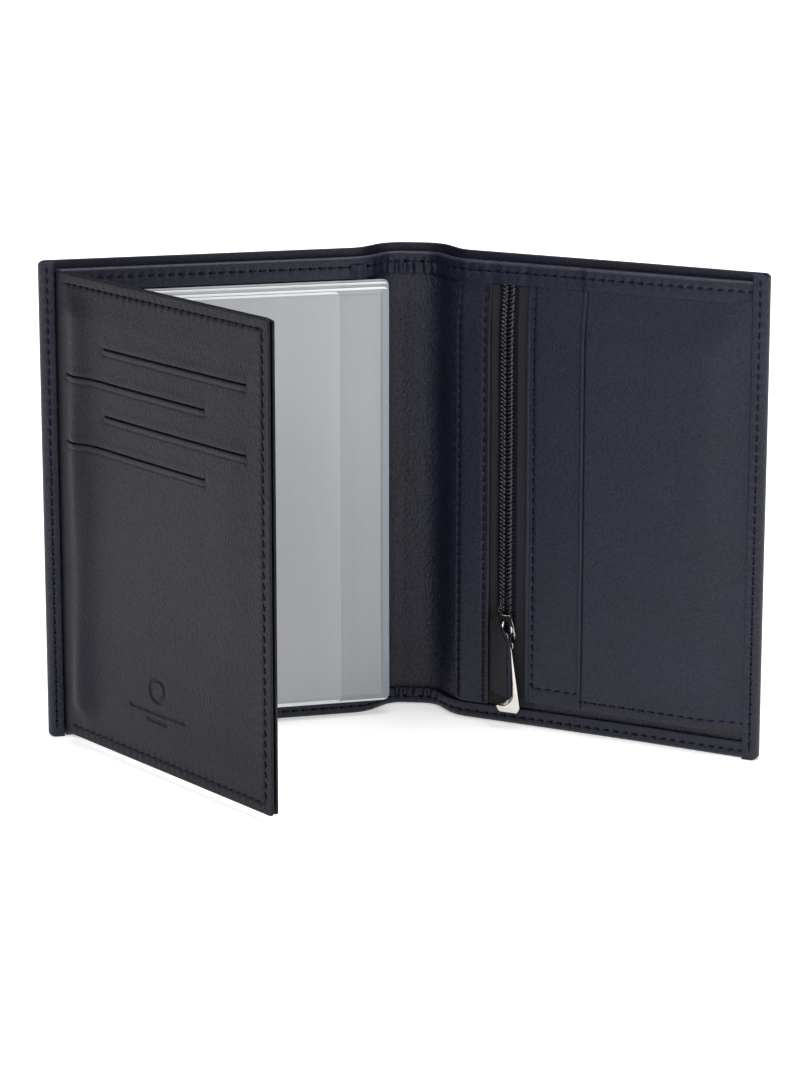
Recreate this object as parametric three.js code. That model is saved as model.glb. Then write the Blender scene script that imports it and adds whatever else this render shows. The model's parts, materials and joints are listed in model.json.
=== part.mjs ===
// A bi-fold leather passport holder, standing open on its lower edges.
// Millimetres, +Z up. +X runs from the left cover to the right cover, the spine is at the back (+Y)
// and the inside of the holder faces -Y.
//
// The soft spine is built as a chain of five stiff strips: cover, fold, spine, fold, cover.
// Every strip carries the same layers, stacked along its own inward normal, "w":
// w = 0 is the inside face of the lining, negative w is towards the outer leather and
// positive w is towards the reader. "u" runs from a strip's inner hinge to its outer edge.
import * as THREE from 'three';

const RAD = Math.PI / 180;

// ---- driving dimensions: the whole holder ----
const HEIGHT = 140;
const COVER_WIDTH = 94;
const FOLD_WIDTH = 11.5;
const SPINE_WIDTH = 13.4;
const CORNER_RADIUS = 3;
const GAP = 0.3;

// ---- the pose that it stands in, in degrees ----
const FOLD_ANGLE = 57; // a fold strip from the spine strip
const COVER_BEND = 38; // a cover back from its fold strip
const FLAP_OPEN = 62; // the card flap from the left cover
const CLOSING_ANGLE = 90; // a fold strip from the spine strip when the holder is shut
const FLAT_FOLD_ANGLE = 48.2; // a fold strip from the spine strip when both covers lie flat

// ---- layer thicknesses ----
const SHELL_THICKNESS = 0.9;
const BOARD_THICKNESS = 0.4;
const NOTE_SPACE = 0.6;
const LINING_THICKNESS = 0.7;
const HEM_THICKNESS = 0.8;
const LEATHER = 0.8;
const POCKET_CLOTH = 0.3;
const CLEAR_SHEET = 0.3;
const TAPE_THICKNESS = 0.4;

// ---- edges and hems ----
const LINING_DROP = 2.2; // how far the lining's top is below the outer leather's top
const TOP_HEM = 6.5;
const BOTTOM_HEM = 5;
const SIDE_HEM = 4.6;

// ---- left cover ----
const SLIP_POCKET_START = 2.5;
const HINGE_STRIP_WIDTH = 1.2;
const PAGE_OVERHANG = 4.1; // how far a clear page reaches past the fold, over the spine
const PAGE_BOTTOM = 6.5;
const PAGE_DROP = 6.3; // how far a page's top is below the lining's top
const PAGE_CORNER = 2.5;
const FLAP_OVERHANG = 5.4;
const FLAP_BOTTOM = 2.2;
const FLAP_BACK_THICKNESS = 0.6;
const CARD_SLIT_LENGTH = 63.4;
const CARD_SLIT_WIDTH = 0.5;
const CARD_SLIT_PITCH = 9.6;
const TOP_SLIT_DROP = 18.8; // the highest slit below the flap's top edge
const CARD_POCKETS = 4;
const CARD_POCKET_DEPTH = 48;
const SLIT_HINGE_MARGIN = 2; // every other slit starts this far from the hinge
const SLIT_FREE_MARGIN = 9.6; // the rest end this far from the free edge

// ---- right cover ----
const ZIP_WINDOW_START = 11.1;
const ZIP_WINDOW_WIDTH = 11.2;
const ZIP_PANEL_START = 0.5;
const ZIP_PANEL_BOTTOM = 5.6;
const ZIP_OFF_CENTRE = 0.3; // the zip's middle from the window's middle, towards the spine
const TAPE_UNDERLAP = 2.3; // how far each tape runs under the leather beside the window
const TAPE_SLOT = 0.6;
const COIL_WIDTH = 1.9;
const COIL_HEIGHT = 1.2;
const CARD_PANEL_START = 39.2;
const CARD_PANEL_BOTTOM = 8;
const POCKET_BAG_MARGIN = 3;

// ---- zip hardware ----
const SLIDER_BOTTOM = 26;
const SLIDER_LENGTH = 7.5;
const SLIDER_CLEARANCE = 0.65; // between the coil and the slider's side wall
const SLIDER_PLATE = 0.6;
const STOP_LENGTH = 2;
const ZIP_TOP_MARGIN = 3.6; // from the top stop to the top of the tapes
const BAIL_LOW_MARGIN = 0.8; // from the slider's lower end to the bail
const BAIL_HIGH_MARGIN = 1.5;
const BAIL_WIDTH = 1.4;
const BAIL_WIRE = 0.5;
const BAIL_HEIGHT = 1.6;
const BAIL_PLAY = 0.5; // from the bail's wire up to the height that the pull hangs from
const PULL_PLATE = 0.5;
const PULL_LENGTH = 23;
const PULL_EYE_WIDTH = 2.5;
const PULL_EYE_RISE = 0.45; // above the point that the pull hangs from
const PULL_EYE_DROP = 2.6; // below that point
const PULL_RING = 0.5; // the metal round the eye
const PULL_STEM_WIDTH = 1.3;
const PULL_STEM_OFFSET = 2.3; // from the eye's middle, away from the tab
const PULL_FOOT_WIDTH = 6.6;
const PULL_FOOT_LENGTH = 5;
const PULL_FOOT_BEVEL = 1.5;
const PULL_FLARE_LENGTH = 3;
const TAB_WIDTH = 5.6;
const TAB_LENGTH = 27.5;
const TAB_LAYER = 0.4;
const TAB_TOP = 6.4; // above the point that the pull hangs from
const TAB_SIDE_STEP = 0.1; // the tab's inner side from the middle of the eye
const TAB_SHOULDER_GAP = 0.6; // from the eye's ring down to the tab's sloping shoulder
const TAB_TAPER = 0.4;

// ---- materials ----
function material(hex, roughness, metalness = 0, opacity = 1) {
  return new THREE.MeshStandardMaterial({
    color: hex, roughness, metalness, opacity, transparent: opacity < 1,
  });
}
const navyLeather = material(0x1b1d2b, 0.55);
const liningLeather = material(0x1f2231, 0.6);
const fibreBoard = material(0x4a4238, 0.9);
const pocketCloth = material(0x15161d, 0.9);
const clearVinyl = material(0xd9dfe6, 0.15, 0, 0.45);
const zipCloth = material(0x0c0d12, 0.85);
const zipNylon = material(0x14161f, 0.4);
const nickel = material(0xc9c9cc, 0.2, 1);

// ---- levels that the layers stack up to ----
const boardFront = -LINING_THICKNESS - NOTE_SPACE;
const shellFront = boardFront - BOARD_THICKNESS - GAP;
const shellBack = shellFront - SHELL_THICKNESS;
const coverPivot = (boardFront + shellFront) / 2; // level of the hinge between fold and cover
const liningTop = HEIGHT - LINING_DROP;
const hemFront = GAP + HEM_THICKNESS;
const pocketTop = liningTop - TOP_HEM - GAP;
const sideHemStart = COVER_WIDTH - SIDE_HEM;
const stripStart = sideHemStart - GAP - HINGE_STRIP_WIDTH;
const pageHinge = stripStart - GAP;
const pageWidth = pageHinge + PAGE_OVERHANG;
const pageTop = liningTop - PAGE_DROP;
const flapWidth = pageHinge + FLAP_OVERHANG;
const flapTop = liningTop;

// An extruded plate in a strip's own frame. side is +1 on the right of the spine and -1 on the left,
// origin is the level w of the strip's hinge. outline is a Shape in (u, z).
function plate(outline, side, from, to, origin) {
  const geometry = new THREE.ExtrudeGeometry(outline, { depth: to - from, bevelEnabled: false, curveSegments: 4 });
  geometry.rotateX(Math.PI / 2);
  geometry.translate(0, origin - from, 0);
  if (side > 0) return geometry;
  // the left side is a mirror image, so its faces are wound the other way
  geometry.scale(-1, 1, 1);
  const place = geometry.attributes.position;
  for (let i = 0; i < place.count; i += 3) {
    const first = new THREE.Vector3().fromBufferAttribute(place, i);
    const last = new THREE.Vector3().fromBufferAttribute(place, i + 2);
    place.setXYZ(i, last.x, last.y, last.z);
    place.setXYZ(i + 2, first.x, first.y, first.z);
  }
  geometry.computeVertexNormals();
  return geometry;
}

// A rectangle with its own radius at each corner: low-start, low-end, high-end, high-start.
function rounded(u0, u1, z0, z1, radii = [0, 0, 0, 0]) {
  const [a, b, c, d] = radii;
  const shape = new THREE.Shape();
  shape.moveTo(u0 + a, z0);
  shape.lineTo(u1 - b, z0);
  if (b) shape.absarc(u1 - b, z0 + b, b, -Math.PI / 2, 0);
  shape.lineTo(u1, z1 - c);
  if (c) shape.absarc(u1 - c, z1 - c, c, 0, Math.PI / 2);
  shape.lineTo(u0 + d, z1);
  if (d) shape.absarc(u0 + d, z1 - d, d, Math.PI / 2, Math.PI);
  shape.lineTo(u0, z0 + a);
  if (a) shape.absarc(u0 + a, z0 + a, a, Math.PI, Math.PI * 1.5);
  return shape;
}

function named(name, geometry, finish) {
  const mesh = new THREE.Mesh(geometry, finish);
  mesh.name = name;
  return mesh;
}

// A strip seen from above, extruded upwards. corners are (u, w) pairs.
function upright(corners, side, z0, z1, origin) {
  const shape = new THREE.Shape(corners.map(([u, w]) => new THREE.Vector2(side * u, origin - w)));
  const geometry = new THREE.ExtrudeGeometry(shape, { depth: z1 - z0, bevelEnabled: false });
  geometry.translate(0, 0, z0);
  return geometry;
}

// Where a layer's end is cut at the hinge between the spine and a fold strip, so that it
// closes up on the outside when the holder lies flat and on the inside when it is shut.
function spineMitre(w) {
  const bend = w > 0 ? CLOSING_ANGLE : FLAT_FOLD_ANGLE;
  return w * Math.tan((bend * RAD) / 2) + (w > 0 ? GAP : GAP / 2);
}

// The same for the hinge between a fold strip and its cover, which bends the other way.
function coverMitre(w) {
  const behind = Math.max(0, coverPivot - w);
  return behind * Math.tan((FLAT_FOLD_ANGLE * RAD) / 2) + GAP / 2;
}

const LAYERS = [
  { part: 'shell', from: shellBack, to: shellFront, bottom: 0, top: HEIGHT, finish: navyLeather },
  { part: 'lining', from: -LINING_THICKNESS, to: 0, bottom: 0, top: liningTop, finish: liningLeather },
  { part: 'top_hem', from: GAP, to: hemFront, bottom: liningTop - TOP_HEM, top: liningTop, finish: navyLeather },
  { part: 'bottom_hem', from: GAP, to: hemFront, bottom: 0, top: BOTTOM_HEM, finish: navyLeather },
];

function spineStrip() {
  const group = new THREE.Group();
  const half = SPINE_WIDTH / 2;
  for (const { part, from, to, bottom, top, finish } of LAYERS) {
    const corners = [
      [-half + spineMitre(from), from], [half - spineMitre(from), from],
      [half - spineMitre(to), to], [-half + spineMitre(to), to],
    ];
    group.add(named(`${part}_spine`, upright(corners, 1, bottom, top, 0), finish));
  }
  return group;
}

function foldStrip(side, sideName) {
  const group = new THREE.Group();
  for (const { part, from, to, bottom, top, finish } of LAYERS) {
    const corners = [
      [spineMitre(from), from], [FOLD_WIDTH - coverMitre(from), from],
      [FOLD_WIDTH - coverMitre(to), to], [spineMitre(to), to],
    ];
    group.add(named(`${part}_fold_${sideName}`, upright(corners, side, bottom, top, 0), finish));
  }
  return group;
}

// The layers that both covers share: outer leather, board, lining and the hems sewn round the edge.
function coverStrip(side, sideName) {
  const group = new THREE.Group();
  const start = coverMitre(shellBack);
  const add = (name, finish, outline, from, to) => {
    group.add(named(`${name}_cover_${sideName}`, plate(outline, side, from, to, coverPivot), finish));
  };
  const corner = CORNER_RADIUS;
  add('shell', navyLeather, rounded(start, COVER_WIDTH, 0, HEIGHT, [0, corner, corner, 0]), shellBack, shellFront);
  add('stiffener', fibreBoard, rounded(start + GAP, COVER_WIDTH - corner, corner, HEIGHT - corner),
    boardFront - BOARD_THICKNESS, boardFront);
  add('lining', liningLeather, rounded(GAP / 2, COVER_WIDTH - GAP, 0, liningTop, [0, corner, 0, 0]),
    -LINING_THICKNESS, 0);
  add('top_hem', navyLeather, rounded(GAP / 2, sideHemStart - GAP, liningTop - TOP_HEM, liningTop), GAP, hemFront);
  add('bottom_hem', navyLeather, rounded(GAP / 2, sideHemStart - GAP, 0, BOTTOM_HEM), GAP, hemFront);
  add('side_hem', navyLeather, rounded(sideHemStart, COVER_WIDTH, 0, HEIGHT, [0, corner, corner, 0]), GAP, hemFront);
  return group;
}

// A group that turns about an upright axis at (u, w) of its parent strip.
function hinged(side, u, w, parentOrigin, degrees) {
  const group = new THREE.Group();
  group.position.set(side * u, parentOrigin - w, 0);
  group.rotation.z = side * degrees * RAD;
  return group;
}

// ---- left cover: slip pocket, clear pages and the card flap ----
const rearPageBack = hemFront + GAP;
const frontPageBack = rearPageBack + 2 * (CLEAR_SHEET + GAP);
const flapBack = frontPageBack + 2 * (CLEAR_SHEET + GAP);
const flapCloth = flapBack + FLAP_BACK_THICKNESS + GAP;
const flapFront = flapCloth + POCKET_CLOTH + GAP;
const flapPivot = (flapBack + flapFront + LEATHER) / 2;
const flapRoot = GAP * 2; // where the flap's leather starts, clear of the hinge strip

function leftFittings(cover) {
  const add = (name, finish, outline, from, to) => {
    cover.add(named(name, plate(outline, -1, from, to, coverPivot), finish));
  };
  add('slip_pocket_left', navyLeather,
    rounded(SLIP_POCKET_START, sideHemStart - GAP, BOTTOM_HEM + GAP, pocketTop), GAP, hemFront);
  add('page_hinge_strip', clearVinyl,
    rounded(stripStart, stripStart + HINGE_STRIP_WIDTH, PAGE_BOTTOM, pageTop),
    rearPageBack, rearPageBack + CLEAR_SHEET);
  add('flap_hinge_strip', navyLeather,
    rounded(stripStart, stripStart + HINGE_STRIP_WIDTH, FLAP_BOTTOM, flapTop),
    rearPageBack + CLEAR_SHEET + GAP, rearPageBack + CLEAR_SHEET + GAP + LEATHER);
}

// A clear pocket page: two welded sheets. It turns about its back face, beside the hinge strip.
function page(sheetNames) {
  const group = new THREE.Group();
  const round = PAGE_CORNER;
  sheetNames.forEach((name, layer) => {
    // the sheets run from the hinge back towards the spine
    const outline = rounded(-pageWidth, -GAP / 2, PAGE_BOTTOM, pageTop, [round, 0, 0, round]);
    const from = layer * (CLEAR_SHEET + GAP);
    group.add(named(name, plate(outline, -1, from, from + CLEAR_SHEET, 0), clearVinyl));
  });
  return group;
}

// The slits are staggered: alternately near the free edge and near the hinge.
function slitFar(row) {
  if (row % 2) return -flapRoot - SLIT_HINGE_MARGIN - CARD_SLIT_LENGTH;
  return -flapWidth + SLIT_FREE_MARGIN;
}

function flap() {
  const group = new THREE.Group();
  const round = CORNER_RADIUS;
  const corners = [round, 0, 0, round];
  const add = (name, finish, outline, from, to) => {
    group.add(named(name, plate(outline, -1, from - flapPivot, to - flapPivot, 0), finish));
  };
  const topSlit = flapTop - TOP_SLIT_DROP;
  const face = rounded(-flapWidth, -flapRoot, FLAP_BOTTOM, flapTop, corners);
  for (let row = 0; row < CARD_POCKETS; row += 1) {
    const z = topSlit - row * CARD_SLIT_PITCH;
    const far = slitFar(row);
    const slit = rounded(far, far + CARD_SLIT_LENGTH, z - CARD_SLIT_WIDTH / 2, z + CARD_SLIT_WIDTH / 2);
    face.holes.push(new THREE.Path(slit.getPoints()));
  }
  add('flap_front', navyLeather, face, flapFront, flapFront + LEATHER);
  add('flap_back', navyLeather, rounded(-flapWidth, -flapRoot, FLAP_BOTTOM, flapTop, corners),
    flapBack, flapBack + FLAP_BACK_THICKNESS);
  // each card pocket's cloth, seen edge on between the two leathers: a strip down from its slit
  for (let row = 0; row < CARD_POCKETS; row += 1) {
    const top = topSlit - row * CARD_SLIT_PITCH + CARD_SLIT_PITCH / 2 - GAP;
    const last = row === CARD_POCKETS - 1;
    const low = last ? top - CARD_POCKET_DEPTH : top - CARD_SLIT_PITCH + GAP;
    const far = slitFar(row);
    add(`card_pocket_${row + 1}`, pocketCloth, rounded(far, far + CARD_SLIT_LENGTH, low, top),
      flapCloth, flapCloth + POCKET_CLOTH);
  }
  return group;
}

// ---- right cover: zipped pocket and card pocket ----
const bagFront = GAP + POCKET_CLOTH;
const tapeBack = bagFront + GAP;
const tapeFront = tapeBack + TAPE_THICKNESS;
const zipPanelBack = tapeFront + GAP;
const zipPanelFront = zipPanelBack + LEATHER;
const cardPanelBack = zipPanelFront + GAP;
const cardPanelFront = cardPanelBack + LEATHER;
const coilFront = zipPanelBack + COIL_HEIGHT;
const sliderFront = coilFront + GAP + SLIDER_PLATE;
const windowEnd = ZIP_WINDOW_START + ZIP_WINDOW_WIDTH;
const zipCentre = (ZIP_WINDOW_START + windowEnd) / 2 - ZIP_OFF_CENTRE;
const zipTop = pocketTop - GAP;
const halfSlot = TAPE_SLOT / 2;
const coilOuter = halfSlot / 2 + COIL_WIDTH; // the coil's outer side from the zip's middle
const sliderHalf = coilOuter + SLIDER_CLEARANCE + SLIDER_PLATE;
const coilBottom = SLIDER_BOTTOM - GAP;
const coilTop = zipTop - ZIP_TOP_MARGIN - STOP_LENGTH - GAP;
const bailBottom = SLIDER_BOTTOM + BAIL_LOW_MARGIN;
const bailLength = SLIDER_LENGTH - BAIL_LOW_MARGIN - BAIL_HIGH_MARGIN;
const pullPivot = bailBottom + BAIL_WIRE + BAIL_PLAY; // the height that the pull hangs from
const pullBack = sliderFront + GAP + BAIL_WIRE;

function rightFittings(cover) {
  const add = (name, finish, outline, from, to) => {
    cover.add(named(name, plate(outline, 1, from, to, coverPivot), finish));
  };
  const panelEnd = sideHemStart - GAP;
  add('zip_pocket_bag', pocketCloth,
    rounded(POCKET_BAG_MARGIN, panelEnd - POCKET_BAG_MARGIN, BOTTOM_HEM + GAP, pocketTop), GAP, bagFront);
  add('zip_panel_left', navyLeather,
    rounded(ZIP_PANEL_START, ZIP_WINDOW_START, ZIP_PANEL_BOTTOM, pocketTop, [CORNER_RADIUS, 0, 0, 0]),
    zipPanelBack, zipPanelFront);
  add('zip_panel_right', navyLeather, rounded(windowEnd, panelEnd, ZIP_PANEL_BOTTOM, pocketTop),
    zipPanelBack, zipPanelFront);
  add('card_panel_right', navyLeather, rounded(CARD_PANEL_START, panelEnd, CARD_PANEL_BOTTOM, pocketTop),
    cardPanelBack, cardPanelFront);
  const tapeBottom = ZIP_PANEL_BOTTOM + GAP;
  add('zip_tape_left', zipCloth,
    rounded(ZIP_WINDOW_START - TAPE_UNDERLAP, zipCentre - halfSlot, tapeBottom, zipTop), tapeBack, tapeFront);
  add('zip_tape_right', zipCloth,
    rounded(zipCentre + halfSlot, windowEnd + TAPE_UNDERLAP, tapeBottom, zipTop), tapeBack, tapeFront);

  for (const [sideName, across] of [['left', -1], ['right', 1]]) {
    const coil = new THREE.CylinderGeometry(COIL_WIDTH / 2, COIL_WIDTH / 2, coilTop - coilBottom, 10);
    coil.rotateX(Math.PI / 2);
    coil.scale(1, COIL_HEIGHT / COIL_WIDTH, 1);
    coil.translate(zipCentre + across * (coilOuter - COIL_WIDTH / 2),
      coverPivot - zipPanelBack - COIL_HEIGHT / 2, (coilTop + coilBottom) / 2);
    cover.add(named(`zip_coil_${sideName}`, coil, zipNylon));
  }
  const stopHalf = sliderHalf - SLIDER_PLATE;
  add('zip_bottom_stop', nickel,
    rounded(zipCentre - stopHalf, zipCentre + stopHalf, coilBottom - GAP - STOP_LENGTH, coilBottom - GAP),
    zipPanelBack, coilFront);
  add('zip_top_stop', nickel,
    rounded(zipCentre - stopHalf, zipCentre + stopHalf, coilTop + GAP, coilTop + GAP + STOP_LENGTH),
    zipPanelBack, coilFront);
}

// The slider rides over the coil like an upturned channel. Its frame is the cover's.
function slider() {
  const group = new THREE.Group();
  const half = sliderHalf;
  const inner = half - SLIDER_PLATE;
  const under = sliderFront - SLIDER_PLATE;
  const channel = [
    [zipCentre - half, zipPanelBack], [zipCentre - inner, zipPanelBack], [zipCentre - inner, under],
    [zipCentre + inner, under], [zipCentre + inner, zipPanelBack], [zipCentre + half, zipPanelBack],
    [zipCentre + half, sliderFront], [zipCentre - half, sliderFront],
  ];
  group.add(named('zip_slider_body', upright(channel, 1, SLIDER_BOTTOM, SLIDER_BOTTOM + SLIDER_LENGTH, coverPivot),
    nickel));

  // the bail is an arch over the slider, seen from the side as a frame in (z, w)
  const foot = sliderFront + GAP;
  const low = bailBottom;
  const arch = new THREE.Shape();
  const high = low + bailLength;
  arch.moveTo(low, foot);
  arch.lineTo(high, foot);
  arch.lineTo(high - BAIL_WIRE, foot + BAIL_HEIGHT);
  arch.lineTo(low + BAIL_WIRE / 2, foot + BAIL_HEIGHT);
  const eye = new THREE.Path();
  eye.moveTo(low + BAIL_WIRE, foot + BAIL_WIRE / 2);
  eye.lineTo(high - BAIL_WIRE * 2, foot + BAIL_WIRE / 2);
  eye.lineTo(high - BAIL_WIRE * 2, foot + BAIL_HEIGHT - BAIL_WIRE / 2);
  eye.lineTo(low + BAIL_WIRE, foot + BAIL_HEIGHT - BAIL_WIRE / 2);
  arch.holes.push(eye);
  const bail = new THREE.ExtrudeGeometry(arch, { depth: BAIL_WIDTH, bevelEnabled: false });
  // (z, w, across) becomes (x, y, z) of the cover: x = across, y = origin - w, z = z
  bail.applyMatrix4(new THREE.Matrix4().set(
    0, 0, 1, zipCentre - BAIL_WIDTH / 2,
    0, -1, 0, coverPivot,
    1, 0, 0, 0,
    0, 0, 0, 1,
  ));
  group.add(named('zip_bail', bail, nickel));
  return group;
}

// The pull hangs from the bail: a flared nickel plate with an eye, and a two-layer leather tab
// beside it that ends over the plate's foot. Its origin is the point that it swings about.
function pull() {
  const group = new THREE.Group();
  const add = (name, finish, outline, from, to) => {
    group.add(named(name, plate(outline, 1, from - pullBack, to - pullBack, 0), finish));
  };
  const eyeSide = PULL_EYE_WIDTH / 2;
  const ringSide = eyeSide + PULL_RING;
  const ringLow = -PULL_EYE_DROP - PULL_RING;
  const stemNear = PULL_STEM_OFFSET - PULL_STEM_WIDTH / 2;
  const stemFar = stemNear + PULL_STEM_WIDTH;
  const foot = -PULL_LENGTH;
  const footTop = foot + PULL_FOOT_LENGTH;
  const footFar = stemFar + PULL_FOOT_BEVEL;
  const footNear = footFar - PULL_FOOT_WIDTH;
  const outline = new THREE.Shape();
  outline.moveTo(-ringSide, PULL_EYE_RISE + PULL_RING);
  outline.lineTo(-ringSide, ringLow);
  outline.lineTo(stemNear, ringLow - PULL_STEM_WIDTH);
  outline.lineTo(stemNear, footTop + PULL_FLARE_LENGTH);
  outline.lineTo(footNear, footTop);
  outline.lineTo(footNear, foot + PULL_FOOT_BEVEL);
  outline.lineTo(footNear + PULL_FOOT_BEVEL, foot);
  outline.lineTo(footFar - PULL_FOOT_BEVEL / 2, foot);
  outline.lineTo(footFar, foot + PULL_FOOT_BEVEL);
  outline.lineTo(stemFar, ringLow - PULL_STEM_WIDTH);
  outline.lineTo(ringSide, PULL_EYE_RISE + PULL_RING);
  const eye = new THREE.Path();
  eye.moveTo(-eyeSide, PULL_EYE_RISE);
  eye.lineTo(-eyeSide, -PULL_EYE_DROP);
  eye.lineTo(eyeSide, -PULL_EYE_DROP);
  eye.lineTo(eyeSide, PULL_EYE_RISE);
  outline.holes.push(eye);
  add('zip_pull_plate', nickel, outline, pullBack, pullBack + PULL_PLATE);

  // the tab's top slopes down past the bail, its lower end is rounded
  const tabRight = TAB_SIDE_STEP;
  const tabLeft = tabRight - TAB_WIDTH;
  const toeRadius = (TAB_WIDTH - TAB_TAPER) / 2;
  const toeCentre = TAB_TOP - TAB_LENGTH + toeRadius;
  const tab = new THREE.Shape();
  tab.moveTo(tabRight, ringLow - TAB_SHOULDER_GAP);
  tab.lineTo(tabLeft + TAB_TAPER, TAB_TOP);
  tab.lineTo(tabLeft, TAB_TOP - 2 * TAB_TAPER);
  tab.lineTo(tabRight - 2 * toeRadius, toeCentre);
  tab.absarc(tabRight - toeRadius, toeCentre, toeRadius, Math.PI, Math.PI * 2);
  add('zip_tab_rear', navyLeather, tab, pullBack + PULL_PLATE + GAP, pullBack + PULL_PLATE + GAP + TAB_LAYER);
  add('zip_tab_front', navyLeather, tab, pullBack + PULL_PLATE + 2 * GAP + TAB_LAYER,
    pullBack + PULL_PLATE + 2 * (GAP + TAB_LAYER));
  return group;
}

// ---- assembly ----
const holder = new THREE.Group();
holder.add(spineStrip());

const leftFold = hinged(-1, SPINE_WIDTH / 2, 0, 0, -FOLD_ANGLE);
leftFold.name = 'left_fold';
leftFold.add(foldStrip(-1, 'left'));
const leftCover = hinged(-1, FOLD_WIDTH, coverPivot, 0, COVER_BEND);
leftCover.name = 'left_cover';
leftCover.add(coverStrip(-1, 'left'));
leftFittings(leftCover);
leftFold.add(leftCover);
holder.add(leftFold);

const rightFold = hinged(1, SPINE_WIDTH / 2, 0, 0, -FOLD_ANGLE);
rightFold.name = 'right_fold';
rightFold.add(foldStrip(1, 'right'));
const rightCover = hinged(1, FOLD_WIDTH, coverPivot, 0, COVER_BEND);
rightCover.name = 'right_cover';
rightCover.add(coverStrip(1, 'right'));
rightFittings(rightCover);
rightFold.add(rightCover);
holder.add(rightFold);

const rearPage = hinged(-1, pageHinge, rearPageBack, coverPivot, 0);
rearPage.name = 'rear_page';
rearPage.add(page(['rear_page_back', 'rear_page_front']));
const frontPage = hinged(-1, pageHinge, frontPageBack, coverPivot, 0);
frontPage.name = 'front_page';
frontPage.add(page(['front_page_back', 'front_page_front']));
const cardFlap = hinged(-1, pageHinge, flapPivot, coverPivot, FLAP_OPEN);
cardFlap.name = 'card_flap';
cardFlap.add(flap());
leftCover.add(rearPage, frontPage, cardFlap);

const zipSlider = slider();
zipSlider.name = 'zip_slider';
const zipPull = new THREE.Group();
zipPull.name = 'zip_pull';
zipPull.position.set(zipCentre, coverPivot - pullBack, pullPivot);
zipPull.add(pull());
zipSlider.add(zipPull);
rightCover.add(zipSlider);

// the origin is under the middle of the standing holder
holder.updateMatrixWorld(true);
const middle = new THREE.Box3().setFromObject(holder).getCenter(new THREE.Vector3());
holder.position.set(-middle.x, -middle.y, 0);
holder.updateMatrixWorld(true);

export default holder;
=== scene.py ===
"""The looks of a leather passport holder that stands open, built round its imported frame.

Every length is in metres. "u" runs along the leather, 0 at the crease between fold and cover and
growing towards the cover's edge, "w" is towards the reader, 0 on the lining's face, and z is up.
"""

import json
import math
from collections import namedtuple

import bmesh
import bpy
import numpy as np
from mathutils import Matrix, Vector


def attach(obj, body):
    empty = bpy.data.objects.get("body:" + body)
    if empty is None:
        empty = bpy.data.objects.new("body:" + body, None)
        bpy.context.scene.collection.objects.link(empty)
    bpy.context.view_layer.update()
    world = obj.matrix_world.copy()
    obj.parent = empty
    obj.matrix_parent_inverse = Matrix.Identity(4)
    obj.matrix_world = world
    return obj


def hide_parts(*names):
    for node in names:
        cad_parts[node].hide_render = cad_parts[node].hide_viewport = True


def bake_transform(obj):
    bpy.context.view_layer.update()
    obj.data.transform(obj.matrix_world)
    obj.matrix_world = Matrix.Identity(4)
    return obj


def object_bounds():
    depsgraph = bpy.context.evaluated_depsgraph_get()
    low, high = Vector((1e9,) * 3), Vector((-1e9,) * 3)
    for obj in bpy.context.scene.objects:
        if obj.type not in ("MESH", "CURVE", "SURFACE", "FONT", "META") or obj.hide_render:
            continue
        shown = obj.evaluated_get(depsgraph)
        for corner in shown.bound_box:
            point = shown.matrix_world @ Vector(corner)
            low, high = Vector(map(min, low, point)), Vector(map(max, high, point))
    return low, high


bl_info = {
    "name": "Passport holder",
    "version": (1, 0, 0),
    "blender": (4, 5, 0),
    "location": "3D View > Sidebar > Holder",
    "description": "Builds the leather, clear pages and zip of a passport holder round its frame",
    "category": "Add Mesh",
}

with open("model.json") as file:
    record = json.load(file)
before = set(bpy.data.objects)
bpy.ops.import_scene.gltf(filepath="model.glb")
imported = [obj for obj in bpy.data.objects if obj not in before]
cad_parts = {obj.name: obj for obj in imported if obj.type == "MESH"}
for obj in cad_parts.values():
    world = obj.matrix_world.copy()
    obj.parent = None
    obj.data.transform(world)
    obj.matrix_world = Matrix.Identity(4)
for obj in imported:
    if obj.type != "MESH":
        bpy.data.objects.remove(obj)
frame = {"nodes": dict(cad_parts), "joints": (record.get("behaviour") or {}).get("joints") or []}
CAD_BOX = [list(corner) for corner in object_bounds()]
JOINTS = {joint["name"]: joint for joint in frame["joints"]}
MM = 0.001


# ---------------------------------------------------------------- settings


def paint(name, description, value):
    return bpy.props.FloatVectorProperty(
        name=name, description=description, subtype="COLOR", size=3, min=0, max=1, default=value)


def length(name, description, value, low=-1.0):
    return bpy.props.FloatProperty(
        name=name, description=description, subtype="DISTANCE", min=low, default=value * MM)


def angle(name, description, degrees):
    return bpy.props.FloatProperty(
        name=name, description=description, subtype="ANGLE", default=math.radians(degrees))


class LeatherSettings(bpy.types.PropertyGroup):
    colour: paint("Navy leather", "Colour of the outer leather and the pockets", (0.0065, 0.0072, 0.0201))
    lining: paint("Lining", "Colour of the lining that shows in the spine", (0.0071, 0.0078, 0.0198))
    flap: paint("Card flap", "Colour of the card flap's leather", (0.0056, 0.0055, 0.0092))
    grain: length("Grain", "Size of a pebble of the leather's grain", 0.5, 0.0)
    grain_depth: length("Grain depth", "Height of the grain", 0.05, 0.0)
    ease: length("Crease ease", "Length of leather on each side of a crease that bends", 4, 0.001)
    curl: length("Curl", "How far the right cover's lower corner curls towards the reader", 1.3)


class StitchSettings(bpy.types.PropertyGroup):
    pitch: length("Pitch", "From one stitch to the next", 2.9, 0.0005)
    length: length("Length", "Length of thread that shows", 2.25)
    width: length("Width", "Width of the thread", 0.6)
    slant: angle("Slant", "Turn of a stitch from its seam", 7)
    colour: paint("Thread", "Colour of the sewing thread", (0.002, 0.004, 0.016))


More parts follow.
